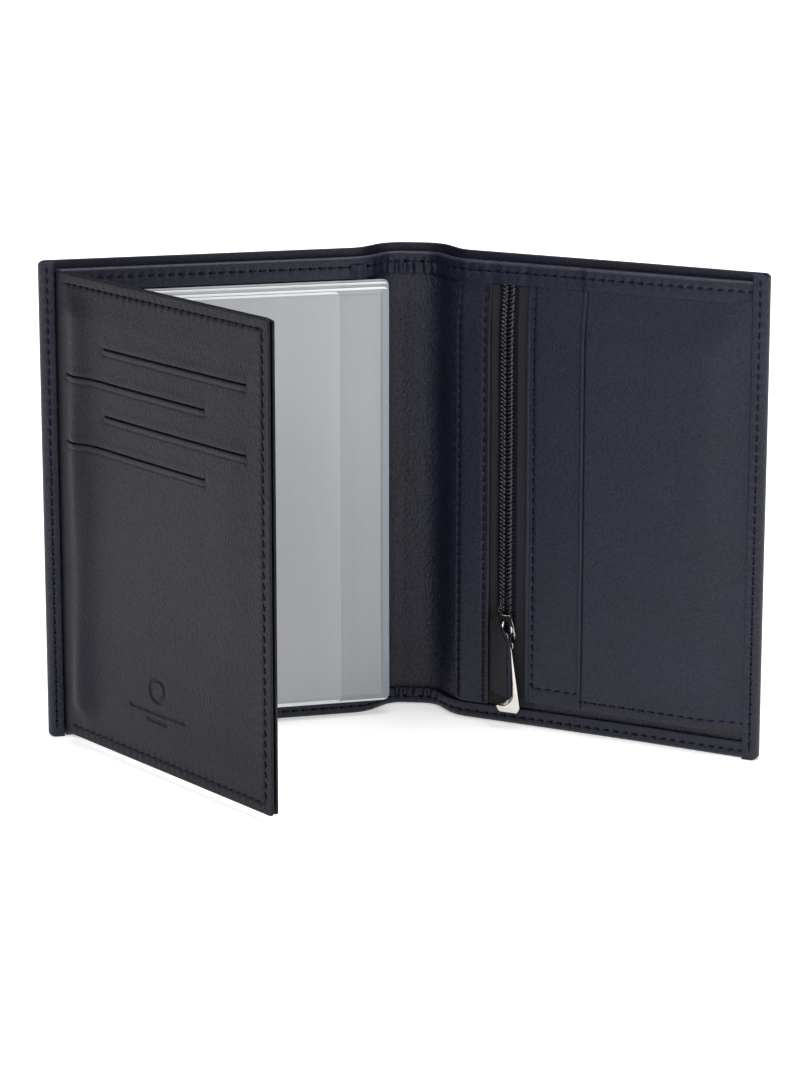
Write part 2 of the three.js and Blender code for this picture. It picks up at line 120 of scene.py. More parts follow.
class PageSettings(bpy.types.PropertyGroup):
    tint: paint("Vinyl", "Milky tint of the clear pages", (0.52, 0.535, 0.55))
    opacity: bpy.props.FloatProperty(
        name="Opacity", description="How much one sheet hides what is behind it",
        subtype="FACTOR", min=0, max=1, default=0.62)
    step: length("Step", "How far each sheet's edge is inside the one behind it", 0.8)
    reach: length("Reach", "How far the sheets stand past their plain solids at the free edge", 3.2)
    setback: length("Setback", "From the free edge back to the edge of the short front sheet", 14.5)


class ZipSettings(bpy.types.PropertyGroup):
    tooth_pitch: length("Coil pitch", "From one turn of the coil to the next", 1.18, 0.0005)
    tape: paint("Tape", "Colour of the woven tapes", (0.0012, 0.0013, 0.0019))
    nickel: paint("Nickel", "Colour of the plated metal", (0.66, 0.63, 0.59))


class StageSettings(bpy.types.PropertyGroup):
    lens: bpy.props.FloatProperty(
        name="Lens", description="Focal length in millimetres on a 36 mm sensor", min=10, default=104)
    pitch: angle("Pitch", "How far the camera looks down", 11.17)
    turn: angle("Turn", "How far the camera is turned to the left", 5.59)
    place: bpy.props.FloatVectorProperty(
        name="Place", description="Where the camera stands", subtype="TRANSLATION", size=3,
        default=(0.0826, -0.8330, 0.2925))
    shift: bpy.props.FloatProperty(name="Shift", description="Rise of the lens, in frame heights", default=-0.2)
    sky: bpy.props.FloatProperty(name="Sky", description="Light that the white room gives", min=0, default=0.3)


SETTINGS = {
    "holder_leather": LeatherSettings,
    "holder_stitch": StitchSettings,
    "holder_pages": PageSettings,
    "holder_zip": ZipSettings,
    "holder_stage": StageSettings,
}


# ---------------------------------------------------------------- where the frame puts things

Extent = namedtuple("Extent", "u0 u1 w0 w1 z0 z1")
ARC_STEPS = 14  # points along a rounded crease
SAME_PLACE = 0.0005 * MM  # points nearer than this are one point
NO_LENGTH = 0.0002 * MM  # an edge shorter than this is left out
TUBE_SIDES = 10
ROW_POINTS = 60  # points along the guide line of a row of the coil


def node_points(node):
    """The corners of a CAD node, in the row frame."""
    mesh = frame["nodes"][node].data
    flat = np.empty(len(mesh.vertices) * 3)
    mesh.vertices.foreach_get("co", flat)
    return flat.reshape(-1, 3)


def joint_place(name):
    return np.array(JOINTS[name]["pos_m"], float)


class Strip:
    """One flat strip of the holder, seen from above: along points away from its hinge, inward to the reader."""

    def __init__(self, node, hinge, level=False):
        flat = node_points(node)[:, :2]
        self.along = np.linalg.svd(flat - flat.mean(0), full_matrices=False)[2][0]
        self.zero = np.array(hinge[:2], float)
        if (flat.mean(0) - self.zero) @ self.along < 0:
            self.along = -self.along
        self.inward = np.array([self.along[1], -self.along[0]])
        if self.inward[1] > 0:
            self.inward = -self.inward
        if level:  # w = 0 on this node's inside face
            self.depth = ((flat - self.zero) @ self.inward).max()
            self.zero = self.zero + self.inward * self.depth

    def extent(self, node):
        """How far a CAD node reaches in this strip's own u, w and z."""
        place = node_points(node)
        u = (place[:, :2] - self.zero) @ self.along
        w = (place[:, :2] - self.zero) @ self.inward
        return Extent(u.min(), u.max(), w.min(), w.max(), place[:, 2].min(), place[:, 2].max())


class Run:
    """A smooth line seen from above that upright leather follows. u is the length along it, zero at "start"."""

    def __init__(self, line, start=0.0, hand=1, settle=None):
        self.line = np.array(line, float)
        step = np.hypot(*np.diff(self.line, axis=0).T)
        self.u = np.concatenate([[0], np.cumsum(step)]) + start
        along = np.gradient(self.line, self.u, axis=0)
        along /= np.linalg.norm(along, axis=1)[:, None]
        self.inward = np.stack([along[:, 1], -along[:, 0]], 1) * hand
        self.settle = settle

    def _read(self, table, u):
        return np.stack([np.interp(u, self.u, table[:, 0]), np.interp(u, self.u, table[:, 1])], -1)

    def at(self, u, w, z):
        """The points at u, w and z, which may be arrays."""
        u, w, z = np.broadcast_arrays(*(np.asarray(value, float) for value in (u, w, z)))
        if self.settle:
            w = w + self.settle(u, z)
        inward = self._read(self.inward, u)
        flat = self._read(self.line, u) + inward * w[..., None]
        return np.concatenate([flat, z[..., None]], -1)

    def pressed(self, u, w, z):
        return self.at(u, w, z)

    def facing(self, u):
        """The direction to the reader at u."""
        flat = self._read(self.inward, np.asarray(u, float))
        return np.concatenate([flat, np.zeros(flat.shape[:-1] + (1,))], -1)


def ease_corner(before, corner, after, ease):
    """An arc that rounds a corner, from "ease" before it to "ease" after it."""
    into = (corner - before) / np.linalg.norm(corner - before)
    out = (after - corner) / np.linalg.norm(after - corner)
    turn = math.atan2(into[0] * out[1] - into[1] * out[0], into @ out)
    radius = ease / math.tan(abs(turn) / 2)
    centre = corner - into * ease + radius * math.copysign(1, turn) * np.array([-into[1], into[0]])
    spoke = corner - into * ease - centre
    angles = np.linspace(0, turn, ARC_STEPS)
    return [
        centre + np.array([spoke[0] * math.cos(a) - spoke[1] * math.sin(a),
                           spoke[0] * math.sin(a) + spoke[1] * math.cos(a)])
        for a in angles
    ]


def smooth(value):
    value = np.clip(value, 0, 1)
    return value * value * (3 - 2 * value)


def bell(value, width):
    return np.exp(-(value / width) ** 2)


class Leaf(Run):
    """Half of the holder, from the middle of the spine to a cover's edge, as one run of leather."""

    TUCK = 131.4 * MM  # the height at which the pockets run in under the top hem
    FLATTENED = 0.58  # the share of the pockets' thickness that is pressed out there
    UNEVEN = 0.12 * MM  # how far the leather is from flat

    def __init__(self, side, ease, curl):
        self.side = side
        self.name = "right" if side > 0 else "left"
        self.cover_body = f"{self.name}_cover"
        self.fold_body = f"{self.name}_fold"
        self.ease = ease
        self.strip = Strip(f"lining_cover_{self.name}", joint_place(f"{self.name}_cover_hinge"), level=True)
        mirror = np.array([side, 1])
        spine_corner = joint_place(f"{self.name}_fold_hinge")[:2] * mirror
        hinge = joint_place(f"{self.name}_cover_hinge")[:2] * mirror
        depth = self.strip.depth
        reach = hinge - spine_corner
        length = math.sqrt(reach @ reach - depth * depth)
        heading = math.atan2(reach[1], reach[0]) - math.atan2(depth, length)
        fold = np.array([math.cos(heading), math.sin(heading)])
        cover = self.strip.along * mirror
        zero = self.strip.zero * mirror
        # the crease is where the fold's face meets the cover's face
        along_fold, _ = np.linalg.solve(np.stack([fold, -cover], 1), zero - spine_corner)
        crease = spine_corner + fold * along_fold
        middle = np.array([0, spine_corner[1]])
        edge = self.strip.extent(f"shell_cover_{self.name}").u1
        end = zero + cover * (edge + ease)
        first = ease_corner(middle, spine_corner, crease, ease)
        second = ease_corner(spine_corner, crease, end, ease)
        corners = [middle, *first, *second, end]
        line = [middle]
        for a, b in zip(corners, corners[1:]):
            count = max(1, round(np.linalg.norm(b - a) / (0.5 * MM)))
            line += [a + (b - a) * k / count for k in range(1, count + 1)]
        line = np.array(line)
        total = np.hypot(*np.diff(line, axis=0).T).sum()
        rise = curl if side > 0 else 0.25 * curl
        super().__init__(line * mirror, edge + ease - total, side, lambda u, z: self.drift(u, z, rise))
        bend = np.hypot(*np.diff(np.array(second), axis=0).T).sum()
        spine_bend = np.hypot(*np.diff(np.array(first), axis=0).T).sum()
        self.edge = edge
        self.cover_start = edge + ease - (np.linalg.norm(end - second[-1]))  # where the cover is flat
        self.fold_end = self.cover_start - bend
        self.fold_start = self.fold_end - np.linalg.norm(second[0] - first[-1])
        self.spine_end = self.fold_start - spine_bend
        self.middle = edge + ease - total
        self.seam = (self.fold_start + self.fold_end) / 2

    def drift(self, u, z, rise):
        """How far the leather stands off its flat strip: the lower corner curls and the rest is not quite flat."""
        height = CAD_BOX[1][2]
        corner = smooth((u - 50 * MM) / (44 * MM)) * (1 - 0.75 * smooth(z / height))
        wave = np.sin(u * 71 + z * 23 + self.side) * np.sin(z * 47 - u * 19)
        return rise * corner + self.UNEVEN * wave * smooth((u - 8 * MM) / (20 * MM))

    def press(self, u, z):
        """How much of its thickness the stack of pockets keeps: less where it runs in under the hems."""
        if self.side < 0:
            return np.ones_like(u * z)
        top = 1 - smooth((self.TUCK - z) / (15 * MM))
        edge = 1 - smooth((self.edge - 4.8 * MM - u) / (13 * MM))
        return 1 - self.FLATTENED * np.maximum(top, edge)

    def pressed(self, u, w, z):
        """Like at, for the pieces of the pockets."""
        u, w, z = np.broadcast_arrays(*(np.asarray(value, float) for value in (u, w, z)))
        return self.at(u, w * self.press(u, z), z)

    def hem_lift(self, u):
        """How far the top hem stands up where it laps over the tops of the pockets."""
        if self.side < 0:
            return 0.25 * MM * smooth((u - 2 * MM) / (2 * MM))
        lift = 0.35 * smooth((u - 0.5 * MM) / (2.5 * MM)) + 0.5 * smooth((u - 38.2 * MM) / (2.2 * MM))
        lift = lift - 0.25 * bell(u - 11.5 * MM, 1.4 * MM)
        lift = lift - 0.25 * bell(u - 22 * MM, 1.4 * MM)
        return lift * MM * (1 - 0.75 * smooth((u - self.edge + 16 * MM) / (10 * MM)))

    def spans(self):
        """The two lengths that the leather is made in, cut where the fold strip is flat and stiff."""
        yield "cover", self.seam, self.edge, self.cover_body, self.fold_body, self.cover_start, self.fold_end
        yield "spine", self.middle, self.seam, self.fold_body, "spine", self.fold_start, self.spine_end

    def bend(self, piece, first, second, start, end):
        tuple(self.at(start, 0, 0))
        tuple(self.at(end, 0, 0))
        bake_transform(piece)


# ---------------------------------------------------------------- mesh building

RIM_STEPS = np.array([0, 0.03, 0.12, 0.3, 0.6, 1])


def graded(low, high, step, rims=(0, 0), fine=()):
    """Lines across a panel: even steps, closer at rounded rims and round the places in fine.
    fine holds (centre, half width, count)."""
    lines = [np.linspace(low, high, max(2, round((high - low) / step) + 1))]
    lines.append(low + rims[0] * RIM_STEPS)
    lines.append(high - rims[1] * RIM_STEPS)
    for centre, half, count in fine:
        lines.append(np.linspace(centre - half, centre + half, count))
    lines = np.unique(np.clip(np.concatenate(lines), low, high))
    keep = np.concatenate([[True], np.diff(lines) > 0.02 * MM])
    keep[-1] = True
    return lines[keep]


def new_object(name, mesh, material=None):
    piece = bpy.data.objects.new(name, mesh)
    bpy.context.scene.collection.objects.link(piece)
    if material:
        mesh.materials.clear()
        mesh.materials.append(material)
    return piece


def finish_mesh(mesh, sharp=math.radians(55)):
    """Merges doubles, turns the faces outwards and shades the mesh smooth up to "sharp"."""
    work = bmesh.new()
    work.from_mesh(mesh)
    bmesh.ops.remove_doubles(work, verts=work.verts, dist=SAME_PLACE)
    bmesh.ops.dissolve_degenerate(work, edges=work.edges, dist=NO_LENGTH)
    bmesh.ops.recalc_face_normals(work, faces=work.faces)
    work.to_mesh(mesh)
    work.free()
    mesh.polygons.foreach_set("use_smooth", np.ones(len(mesh.polygons), bool))
    mesh.set_sharp_from_angle(angle=sharp)
    mesh.update()
    return mesh


def corner_limit(u, low, high, radii):
    """How much a corner of that radius takes off the panel's height at u."""
    cut = np.zeros_like(u)
    for edge, radius in zip((low, high), radii):
        if radius:
            inside = np.clip(np.abs(u - edge) / radius, 0, 1)
            cut = np.maximum(cut, radius * (1 - np.sqrt(1 - (1 - inside) ** 2)))
    return cut


def panel(name, place, us, zs, w0, w1, material, rims=(1, 1, 1, 1), rim=0.5 * MM,
          low_corners=(0, 0), high_corners=(0, 0), relief=None, cut=None):
    """A sheet of leather between w0 and w1 on a grid of us by zs, with rounded rims.
    rims says which sides are rounded: low u, high u, low z, high z. relief(u, z) raises the front face."""
    u, z = np.meshgrid(us, zs, indexing="ij")
    span = zs[-1] - zs[0]
    if cut is None:
        low = corner_limit(u, us[0], us[-1], low_corners)
        high = corner_limit(u, us[0], us[-1], high_corners)
    else:
        low, high = cut(u)
    z = zs[0] + low + (z - zs[0]) * (span - low - high) / span
    far = np.full(u.shape, np.inf)
    for used, gap in zip(rims, (u - us[0], us[-1] - u, z - zs[0] - low, zs[-1] - high - z)):
        if used:
            far = np.minimum(far, gap)
    inside = np.clip(far / rim, 0, 1)
    swell = (1 - (1 - inside) ** 2.4) ** (1 / 2.4)
    half = (w1 - w0) / 2
    middle = (w0 + w1) / 2
    front = middle + half * swell
    if relief is not None:
        front = front + relief(u, z) * swell
    corners = [place(u, front, z), place(u, middle - half * swell, z)]
    rows, columns = u.shape
    places = np.concatenate([c.reshape(-1, 3) for c in corners])
    index = np.arange(rows * columns).reshape(rows, columns)
    quads = np.stack([index[:-1, :-1], index[1:, :-1], index[1:, 1:], index[:-1, 1:]], -1).reshape(-1, 4)
    behind = rows * columns
    faces = [quads, quads[:, ::-1] + behind]
    for line in (index[0], index[-1], index[:, 0], index[:, -1]):
        faces.append(np.stack([line[:-1], line[1:], line[1:] + behind, line[:-1] + behind], -1))
    mesh = bpy.data.meshes.new(name)
    mesh.from_pydata(places.tolist(), [], np.concatenate(faces).tolist())
    return new_object(name, finish_mesh(mesh), material)


def as_mesh(piece, name, material):
    """The evaluated object as a plain mesh object in its place, with the maker object removed."""
    bpy.context.view_layer.update()
    mesh = bpy.data.meshes.new_from_object(piece.evaluated_get(bpy.context.evaluated_depsgraph_get()))
    bpy.data.objects.remove(piece)
    mesh.name = name
    return new_object(name, mesh, material)


def cut_plate(name, loops, w0, w1, bevel, place, material):
    """A plate cut to closed loops in (u, z), the first its outline and the rest holes, with bevelled edges."""
    curve = bpy.data.curves.new(name, "CURVE")
    curve.dimensions = "2D"
    curve.fill_mode = "BOTH"
    curve.extrude = (w1 - w0) / 2 - bevel
    curve.bevel_depth = bevel
    curve.bevel_resolution = 2
    curve.offset = -bevel
    for loop in loops:
        spline = curve.splines.new("POLY")
        spline.points.add(len(loop) - 1)
        spline.points.foreach_set("co", np.array([(u, z, 0, 1) for u, z in loop]).ravel())
        spline.use_cyclic_u = True
    piece = as_mesh(new_object(name, curve), name, material)
    mesh = piece.data
    flat = np.empty(len(mesh.vertices) * 3)
    mesh.vertices.foreach_get("co", flat)
    flat = flat.reshape(-1, 3)
    placed = place(flat[:, 0], flat[:, 2] + (w0 + w1) / 2, flat[:, 1])
    mesh.vertices.foreach_set("co", placed.ravel())
    finish_mesh(mesh, math.radians(35))
    return piece


def round_loop(corners, radius):
    """A closed loop through corners in (u, z), each rounded by radius or by its own third value."""
    loop = []
    count = len(corners)
    for k, corner in enumerate(corners):
        here = np.array(corner[:2])
        size = corner[2] if len(corner) > 2 else radius
        before = np.array(corners[k - 1][:2])
        after = np.array(corners[(k + 1) % count][:2])
        into = (before - here) / np.linalg.norm(before - here)
        out = (after - here) / np.linalg.norm(after - here)
        for t in np.linspace(0, 1, 5):
            loop.append(tuple(here + into * size * (1 - t) ** 2 + out * size * t ** 2))
    return loop


def tube(name, line, width, height, normal, material):
    """A rounded bar along a line of points. width is across the line, height along normal."""
    line = np.array(line, float)
    along = np.gradient(line, axis=0)
    along /= np.linalg.norm(along, axis=1)[:, None]
    up = np.broadcast_to(np.array(normal, float), line.shape)
    across = np.cross(along, up)
    across /= np.linalg.norm(across, axis=1)[:, None]
    up = np.cross(across, along)
    angle = np.linspace(0, 2 * math.pi, TUBE_SIDES, endpoint=False)
    ring = line[:, None] + (np.cos(angle)[None, :, None] * across[:, None] * width
                            + np.sin(angle)[None, :, None] * up[:, None] * height) / 2
    rows = len(line)
    index = np.arange(rows * TUBE_SIDES).reshape(rows, TUBE_SIDES)
    here, ahead = index[:-1], index[1:]
    faces = np.stack([here, np.roll(here, -1, 1), np.roll(ahead, -1, 1), ahead], -1).reshape(-1, 4).tolist()
    faces += [index[0].tolist(), index[-1].tolist()]
    mesh = bpy.data.meshes.new(name)
    mesh.from_pydata(ring.reshape(-1, 3).tolist(), [], faces)
    return new_object(name, finish_mesh(mesh, math.radians(60)), material)


def join(name, pieces):
    """Several mesh objects as one, which keeps their materials."""
    work = bmesh.new()
    materials = []
    for piece in pieces:
        start = len(work.faces)
        work.from_mesh(piece.data)
        work.faces.ensure_lookup_table()
        offset = len(materials)
        for face in work.faces[start:]:
            face.material_index += offset
        materials += list(piece.data.materials)
    mesh = bpy.data.meshes.new(name)
    for material in materials:
        mesh.materials.append(material)
    work.to_mesh(mesh)
    work.free()
    for piece in pieces:
        bpy.data.objects.remove(piece)
    return new_object(name, mesh)


# ---------------------------------------------------------------- what repeats


def repeat_tree():
    """The node tree that lays beads along a guide line: stitches, turns of the coil and their sewing."""
    tree = bpy.data.node_groups.get("bead_row")
    if tree:
        return tree
    tree = bpy.data.node_groups.new("bead_row", "GeometryNodeTree")
    for name, kind in (("Guide", "Geometry"), ("Pitch", "Float"), ("Size", "Vector"), ("Slant", "Rotation"),
                       ("Finish", "Material")):
        tree.interface.new_socket(name, in_out="INPUT", socket_type=f"NodeSocket{kind}")
    tree.interface.new_socket("Beads", in_out="OUTPUT", socket_type="NodeSocketGeometry")
    node = tree.nodes.new
    given = node("NodeGroupInput")
    made = node("NodeGroupOutput")
    curve = node("GeometryNodeMeshToCurve")
    evenly = node("GeometryNodeResampleCurve")
    evenly.mode = "LENGTH"
    bead = node("GeometryNodeMeshUVSphere")
    for port, value in (("Segments", 8), ("Rings", 6), ("Radius", 0.5)):
        bead.inputs[port].default_value = value
    tangent = node("GeometryNodeInputTangent")
    facing = node("GeometryNodeInputNamedAttribute")
    facing.data_type = "FLOAT_VECTOR"
    facing.inputs["Name"].default_value = "facing"
    lie = node("FunctionNodeAlignRotationToVector")
    lie.axis = "X"
    face = node("FunctionNodeAlignRotationToVector")
    face.axis = "Z"
    face.pivot_axis = "X"
    turn = node("FunctionNodeRotateRotation")
    turn.rotation_space = "LOCAL"
    copies = node("GeometryNodeInstanceOnPoints")
    real = node("GeometryNodeRealizeInstances")
    coat = node("GeometryNodeSetMaterial")
    for giver, out, taker, into in (
        (given, "Guide", curve, "Mesh"), (curve, "Curve", evenly, "Curve"), (given, "Pitch", evenly, "Length"),
        (evenly, "Curve", copies, "Points"), (bead, "Mesh", copies, "Instance"),
        (tangent, "Tangent", lie, "Vector"), (lie, "Rotation", face, "Rotation"),
        (facing, "Attribute", face, "Vector"), (face, "Rotation", turn, "Rotation"),
        (given, "Slant", turn, "Rotate By"), (turn, "Rotation", copies, "Rotation"),
        (given, "Size", copies, "Scale"), (copies, "Instances", real, "Geometry"),
        (real, "Geometry", coat, "Geometry"), (given, "Finish", coat, "Material"),
        (coat, "Geometry", made, "Beads"),
    ):
        tree.links.new(giver.outputs[out], taker.inputs[into])
    return tree


def bead_row(name, places, facing, pitch, size, slant, material):
    """Beads of that size along a guide line, each turned by slant in the plane that faces "facing"."""
    mesh = bpy.data.meshes.new(name)
    count = len(places)
    mesh.from_pydata(np.asarray(places).tolist(), [(k, k + 1) for k in range(count - 1)], [])
    mesh.attributes.new("facing", "FLOAT_VECTOR", "POINT").data.foreach_set(
        "vector", np.broadcast_to(facing, (count, 3)).astype(np.float32).ravel())
    piece = new_object(name, mesh)
    tree = repeat_tree()
    modifier = piece.modifiers.new("beads", "NODES")
    modifier.node_group = tree
    values = {"Pitch": pitch, "Size": size, "Slant": (0, 0, slant), "Finish": material}
    for port in tree.interface.items_tree:
        if port.name in values:
            modifier[port.identifier] = values[port.name]
    made = as_mesh(piece, name, material)
    made.data.polygons.foreach_set("use_smooth", np.ones(len(made.data.polygons), bool))
    return made


def stitches(name, run, line, lift):
    """Sewing along a line of (u, z) points on a run, at height lift over its zero face, with its needle holes as
    dark beads of painted shade.
    """
    settings = bpy.context.scene.holder_stitch
    line = np.array(line, float)
    dense = []
    for a, b in zip(line, line[1:]):
        count = max(1, int(np.linalg.norm(b - a) / (1 * MM)))
        dense += [a + (b - a) * k / count for k in range(count)]
    dense = np.array([*dense, line[-1]])
    u, z = dense.T
    level = lift(u, z) if callable(lift) else np.full(len(u), lift)
    facing = run.facing(u)
    size = (settings.length, settings.width, settings.width * 0.8)
    thread_row = bead_row(name, run.at(u, level, z), facing, settings.pitch, size, settings.slant,
                          finish("sewing_thread"))
    # the holes lie half a stitch further on; each is a dark bead, painted shade in the needle hole
    step = np.hypot(*np.diff(dense, axis=0).T)
    length = np.concatenate([[0], np.cumsum(step)])
    late = np.clip(length + settings.pitch / 2, 0, length[-1])
    u, z = np.interp(late, length, u), np.interp(late, length, z)
    keep = np.concatenate([[True], np.diff(late) > 0])
    level = lift(u, z) if callable(lift) else np.full(len(u), lift)
    size = (settings.width * 1.5, settings.width * 1.25, settings.width * 0.7)
    holes = bead_row(name + "_holes", run.at(u, level, z)[keep], run.facing(u)[keep], settings.pitch, size, 0,
                     finish("needle_hole"))
    return join(name, [thread_row, holes])


# ---------------------------------------------------------------- materials


def shader(name, roughness, metallic=0.0):
    """A new material and its main shader."""
    material = bpy.data.materials.new(name)
    material.use_nodes = True
    nodes = material.node_tree.nodes
    main = nodes["Principled BSDF"]
    main.inputs["Roughness"].default_value = roughness
    main.inputs["Metallic"].default_value = metallic
    return material, main


def add(material, kind, **settings):
    """A new node, with its inputs or its own settings by name."""
    node = material.node_tree.nodes.new(kind)
    for key, value in settings.items():
        if key in node.inputs:
            node.inputs[key].default_value = value
        else:
            setattr(node, key, value)
    return node


def wire(material, a, b):
    material.node_tree.links.new(a, b)


def object_place(material):
    return add(material, "ShaderNodeTexCoord").outputs["Object"]


def rough_up(material, main, height, strength, distance, invert=False):
    """A bump on a shader from a height."""
    bump = add(material, "ShaderNodeBump", Strength=strength, Distance=distance)
    bump.invert = invert
    wire(material, height, bump.inputs["Height"])
    wire(material, bump.outputs["Normal"], main.inputs["Normal"])


def grade(material, value, start, end, low, high):
    """A value from start to end, mapped to low to high."""
    node = add(material, "ShaderNodeMapRange")
    for port, number in (("From Min", start), ("From Max", end), ("To Min", low), ("To Max", high)):
        node.inputs[port].default_value = number
    wire(material, value, node.inputs["Value"])
    return node.outputs["Result"]


def tone(material, main, colour, places, size, spread):
    """Colours a shader with a slow, faint change of tone."""
    noise = add(material, "ShaderNodeTexNoise", Scale=1 / size, Detail=4.0, Roughness=0.6)
    wire(material, places, noise.inputs["Vector"])
    ramp = add(material, "ShaderNodeValToRGB")
    ramp.color_ramp.elements[0].position = 0.3
    ramp.color_ramp.elements[1].position = 0.7
    ramp.color_ramp.elements[0].color = (*[c * (1 - spread) for c in colour], 1)
    ramp.color_ramp.elements[1].color = (*[min(1, c * (1 + spread)) for c in colour], 1)
    wire(material, noise.outputs["Fac"], ramp.inputs["Fac"])
    wire(material, ramp.outputs["Color"], main.inputs["Base Color"])


def leather(name, colour, grain, depth, roughness, stretch=1.0, gloss=1.0, sheen=(1, 1, 1)):
    """Fine calf leather: pebbled grain with pores and slow changes of tone."""
    material, main = shader(name, roughness)
    place = object_place(material)
    squeeze = add(material, "ShaderNodeMapping")
    squeeze.inputs["Scale"].default_value = (1, 1, 1 / stretch)
    wire(material, place, squeeze.inputs["Vector"])
    warp = add(material, "ShaderNodeTexNoise", Scale=0.7 / grain, Detail=2.0)
    wire(material, squeeze.outputs["Vector"], warp.inputs["Vector"])
    bend = add(material, "ShaderNodeVectorMath", operation="MULTIPLY_ADD")
    bend.inputs[1].default_value = (grain * 1.2,) * 3
    wire(material, warp.outputs["Color"], bend.inputs[0])
    wire(material, squeeze.outputs["Vector"], bend.inputs[2])
    pebble = add(material, "ShaderNodeTexVoronoi", feature="F1", Scale=1 / grain)
    wire(material, bend.outputs["Vector"], pebble.inputs["Vector"])
    pore = add(material, "ShaderNodeTexNoise", Scale=1.9 / grain, Detail=4.0, Roughness=0.65)
    wire(material, squeeze.outputs["Vector"], pore.inputs["Vector"])
    both = add(material, "ShaderNodeMath", operation="MULTIPLY_ADD")
    both.inputs[1].default_value = 1.1
    wire(material, pore.outputs["Fac"], both.inputs[0])
    wire(material, pebble.outputs["Distance"], both.inputs[2])
    height = both.outputs["Value"]
    rough_up(material, main, height, 1.0, depth, True)
    # painted shade: the hollows of the grain are darker; they are also duller
    tone(material, main, colour, place, 16 * MM, 0.18)
    painted = main.inputs["Base Color"].links[0].from_socket
    shade = add(material, "ShaderNodeVectorMath", operation="SCALE")
    wire(material, painted, shade.inputs[0])
    wire(material, grade(material, height, 0.55, 1.35, 1.12, 0.8), shade.inputs["Scale"])
    wire(material, shade.outputs["Vector"], main.inputs["Base Color"])
    shine = grade(material, height, 0.55, 1.35, 0.5 * gloss, 0.34 * gloss)
    wire(material, shine, main.inputs["Specular IOR Level"])
    main.inputs["Specular Tint"].default_value = (*sheen, 1)
    return material


def thread(name, colour):
    """Sewing thread: a twisted ply."""
    material, main = shader(name, 0.7)
    main.inputs["Specular IOR Level"].default_value = 0.15
    place = object_place(material)
    tone(material, main, colour, place, 3 * MM, 0.25)
    ply = add(material, "ShaderNodeTexWave", bands_direction="DIAGONAL", Scale=700.0)
    wire(material, place, ply.inputs["Vector"])
    rough_up(material, main, ply.outputs["Fac"], 0.4, 0.05 * MM)
    return material


def woven(name, colour, rib):
    """Tape and pocket cloth: fine ribs crossed by a finer weft."""
    material, main = shader(name, 0.85)
    main.inputs["Specular IOR Level"].default_value = 0.07
    place = object_place(material)
    tone(material, main, colour, place, 2 * MM, 0.5)
    warp = add(material, "ShaderNodeTexWave", bands_direction="X", Scale=0.16 / rib, Distortion=0.6)
    weft = add(material, "ShaderNodeTexWave", bands_direction="Z", Scale=0.22 / rib, Distortion=0.6)
    wire(material, place, warp.inputs["Vector"])
    wire(material, place, weft.inputs["Vector"])
    both = add(material, "ShaderNodeMath", operation="MULTIPLY")
    wire(material, warp.outputs["Fac"], both.inputs[0])
    wire(material, weft.outputs["Fac"], both.inputs[1])
    rough_up(material, main, both.outputs["Value"], 0.8, 0.12 * MM)
    return material


def vinyl(name, tint, opacity):
    """Milky soft plastic sheet."""
    material, main = shader(name, 0.22)
    place = object_place(material)
    stretch = add(material, "ShaderNodeMapping")
    stretch.inputs["Scale"].default_value = (1, 1, 0.05)
    wire(material, place, stretch.inputs["Vector"])
    tone(material, main, tint, stretch.outputs["Vector"], 14 * MM, 0.06)
    main.inputs["Alpha"].default_value = opacity
    main.inputs["IOR"].default_value = 1.52
    main.inputs["Coat Weight"].default_value = 0.3
    main.inputs["Coat Roughness"].default_value = 0.08
    ripple = add(material, "ShaderNodeTexNoise", Scale=90.0, Detail=1.0)
    wire(material, stretch.outputs["Vector"], ripple.inputs["Vector"])
    rough_up(material, main, ripple.outputs["Fac"], 0.25, 0.6 * MM)
    return material


def plated(name, colour, roughness):
    """Brushed and plated metal."""
    material, main = shader(name, roughness, 1.0)
    place = object_place(material)
    tone(material, main, colour, place, 4 * MM, 0.06)
    brush = add(material, "ShaderNodeTexNoise", Scale=1600.0, Detail=2.0)
    wire(material, place, brush.inputs["Vector"])
    rough_up(material, main, brush.outputs["Fac"], 0.06, 0.02 * MM)
    return material


def board(name, colour):
    """A dull, rough face: fibre board, cut leather, the painted shade of a needle hole, the painted dark reflection
    on the slider's front.
    """
    material, main = shader(name, 0.9)
    main.inputs["Specular IOR Level"].default_value = 0.1
    tone(material, main, colour, object_place(material), 1.5 * MM, 0.3)
    return material


def nylon(name, colour):
    """Hard glossy plastic."""
    material, main = shader(name, 0.2)
    main.inputs["Specular IOR Level"].default_value = 0.8
    tone(material, main, colour, object_place(material), 2 * MM, 0.2)
    return material


